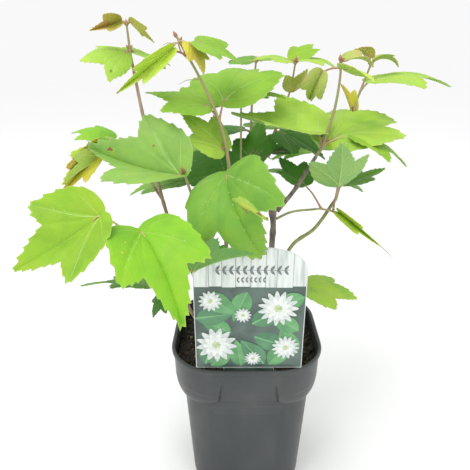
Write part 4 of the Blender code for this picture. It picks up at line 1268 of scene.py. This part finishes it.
def print_rosette(gathered, centre, radius, petals, turn, layer):
    """A printed rosette: two rings of petals and a small eye.

    A petal reaches out as a sine arch of its way along, and the eye is a ring of short ones.
    """
    along = np.linspace(0.02, 1, 7)[:, None]
    side = np.linspace(1, -1, 5)[None]
    for raised, (reach, start, count, ink) in enumerate(((1.0, 0.10, petals, "petal"),
                                                         (0.66, 0.05, petals - 3, "petal_inner"),
                                                         (0.24, 0.0, 7, "eye"))):
        swell = 0.5 * radius * reach * (4.6 / count) * np.sin(np.pi * (0.12 + 0.80 * along)) ** 0.7
        ahead = radius * (start + (reach - start) * along) * (1 - 0.06 * side ** 2)
        for petal in range(count):
            angle = turn + raised * 0.3 + 2 * math.pi * petal / count
            x, height = turned(ahead, swell * side, angle)
            print_patch(gathered, centre[0] + x, centre[1] + height,
                        layer + 2.2 * raised + 1.1 * (petal % 2), ink)


def add_print():
    """The label's print: white boards over a dim green picture of lance leaves and rosettes."""
    dice = np.random.default_rng(SEED + 300)
    gathered = Pieces()
    side = 0.5 * LABEL_WIDTH - PRINT_MARGIN
    print_patch(gathered, np.linspace(-side, side, 12),
                np.linspace(PRINT_MARGIN, PLANK_FOOT + 0.002, 8)[:, None], 0, "dim")
    edges = np.linspace(-side, side, PLANKS + 1)
    edges[1:-1] += dice.uniform(-0.0012, 0.0012, PLANKS - 1)
    for left, right in zip(edges, edges[1:]):
        shut = dice.uniform(0.00012, 0.00026)
        across = np.linspace(left + shut, right - shut, 6)
        foot = PLANK_FOOT + dice.uniform(-0.0007, 0.0007)
        rise = np.linspace(0, 1, 5)[:, None] * (card_top(across) - PRINT_MARGIN - foot)
        print_patch(gathered, across, foot + rise, 2.5, "boards")
    across = np.linspace(-side, side, 41)
    foot = PLANK_FOOT + 0.0016
    rise = np.linspace(0, 1, 9)[:, None] * (card_top(across) - PRINT_MARGIN - foot)
    print_patch(gathered, across, foot + rise, 0, "gaps")
    for number, (foot, heading, length) in enumerate(SPRAYS):
        inks = ("leaf_a", "leaf_b", "rib") if number % 3 else ("leaf_c", "leaf_d", "rib")
        print_blade(gathered, foot, heading, length, length * 0.55, 2 + 2.6 * (number % 4), inks)
    for number, (centre, radius) in enumerate(BLOOMS):
        print_rosette(gathered, centre, radius, 15 - 2 * (number % 2), 0.4 * number, 16)
    for height, reach, size in GARLANDS:
        for number in range(-reach, reach + 1):
            for hand in (1, -1):
                print_blade(gathered, (size * number, height), hand * (0.5 * math.pi - 0.65),
                            size, 0.42 * size, 5.5, ("garland",) * 3)
    print_patch(gathered, np.linspace(-0.0265, 0.0285, 12), np.array([[0.0883], [0.0887]]), 4.5,
                "garland")
    # A strip of the dim ink down the tongue below the rim: painted shade, where the tongue stands
    # in shadow inside the pot
    print_patch(gathered, np.linspace(-0.0198, 0.0198, 9),
                np.array([[-0.0148], [-0.0075], [-0.0001]]), 0, "dim")
    inks = [board_finish()] + [print_finish("print_" + key, *row) for key, row in INKS.items()]
    make_piece("label_print", gathered, inks, "label", smooth=False)


def add_card():
    """The label's card: a sheet under an arched top, with a tongue below."""
    columns = np.linspace(-1, 1, 41)
    x = 0.5 * LABEL_WIDTH * np.sign(columns) * (1 - (1 - np.abs(columns)) ** 1.6)
    share = np.linspace(0, 1, 30)[:, None]
    gathered = Pieces()
    for across, height in ((x, share * card_top(x)),
                           (np.linspace(-0.020, 0.020, 9),
                            np.array([[-0.0150], [-0.0075], [-0.00002]]))):
        across, height = np.broadcast_arrays(across, height)
        add_sheet(gathered, across, height, LABEL_THICK, -LABEL_THICK, 0)
    material, shader, tree = plain("card_stock", (0.74, 0.77, 0.75), 0.38)
    add_bump(tree, shader, noise(tree, 0.0012, 2.0), 0.00005, 0.4)
    make_piece("label_card", gathered, [material], "label")


def add_stage():
    """A plain pale floor."""
    mesh = bpy.data.meshes.new("studio_floor")
    ground = [(x * FLOOR_HALF, y * FLOOR_HALF, 0) for x, y in ((-1, -1), (1, -1), (1, 1), (-1, 1))]
    mesh.from_pydata(ground, [], [(0, 1, 2, 3)])
    mesh.materials.append(pale_floor())
    floor = placed("studio_floor", mesh)
    floor.location.z = -0.0002


def pale_floor():
    """White paper: dull, with the faintest cloudiness."""
    material, shader, tree = two_tone("pale_floor", (0.985, 0.990, 0.985), (0.998, 0.999, 0.998),
                                      0.9, (0.6, 2.0), (0.3, 0.7))
    shader.inputs["Specular IOR Level"].default_value = 0.0
    return material


def add_light(name, place, aim, power):
    """A soft square lamp at a place, facing another."""
    lamp = bpy.data.lights.new(name, "AREA")
    lamp.size = LAMP_SIZE
    lamp.energy = power
    made = placed(name, lamp)
    made.location = place
    way = np.asarray(aim, float) - np.asarray(place, float)
    flat = math.hypot(way[0], way[1])
    made.rotation_euler = (math.atan2(flat, -way[2]), 0, math.atan2(-way[0], way[1]))


def add_studio():
    """Soft even light from a pale room, a broad lamp above and a weaker one at the front."""
    world = bpy.data.worlds.new("pale_room")
    bpy.context.scene.world = world
    world.use_nodes = True
    world.node_tree.nodes["Background"].inputs["Color"].default_value = (1.0, 1.0, 1.0, 1)
    world.node_tree.nodes["Background"].inputs["Strength"].default_value = ROOM_LIGHT
    for row in LAMPS:
        add_light(*row)
    bpy.context.scene.view_settings.view_transform = "Standard"


def add_camera():
    """The camera: at the height of the plant's top, looking down at the label."""
    lens = bpy.data.cameras.new("camera")
    lens.lens = LENS
    lens.sensor_width = LENS
    lens.clip_start = 0.01
    camera = placed("camera", lens)
    camera.location = CAMERA_PLACE
    camera.rotation_euler = (math.radians(CAMERA_TILT), 0, 0)
    bpy.context.scene.camera = camera


def corners(box):
    """A box as plain lists of numbers."""
    return [[float(value) for value in corner] for corner in box]


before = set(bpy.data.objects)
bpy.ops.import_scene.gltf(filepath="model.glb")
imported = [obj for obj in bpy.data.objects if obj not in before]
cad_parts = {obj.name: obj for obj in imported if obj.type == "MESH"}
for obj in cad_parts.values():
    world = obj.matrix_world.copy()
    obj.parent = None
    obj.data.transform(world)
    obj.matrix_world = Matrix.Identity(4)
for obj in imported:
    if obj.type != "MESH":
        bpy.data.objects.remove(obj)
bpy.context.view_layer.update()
add_camera()
add_studio()
add_stage()
for order, (limb, row) in enumerate(CANES.items()):
    add_limb(limb, row, order)
for order, (mass, row) in enumerate(SHOOTS.items()):
    add_mass(mass, row, order)
add_pot()
add_compost()
add_card()
add_print()
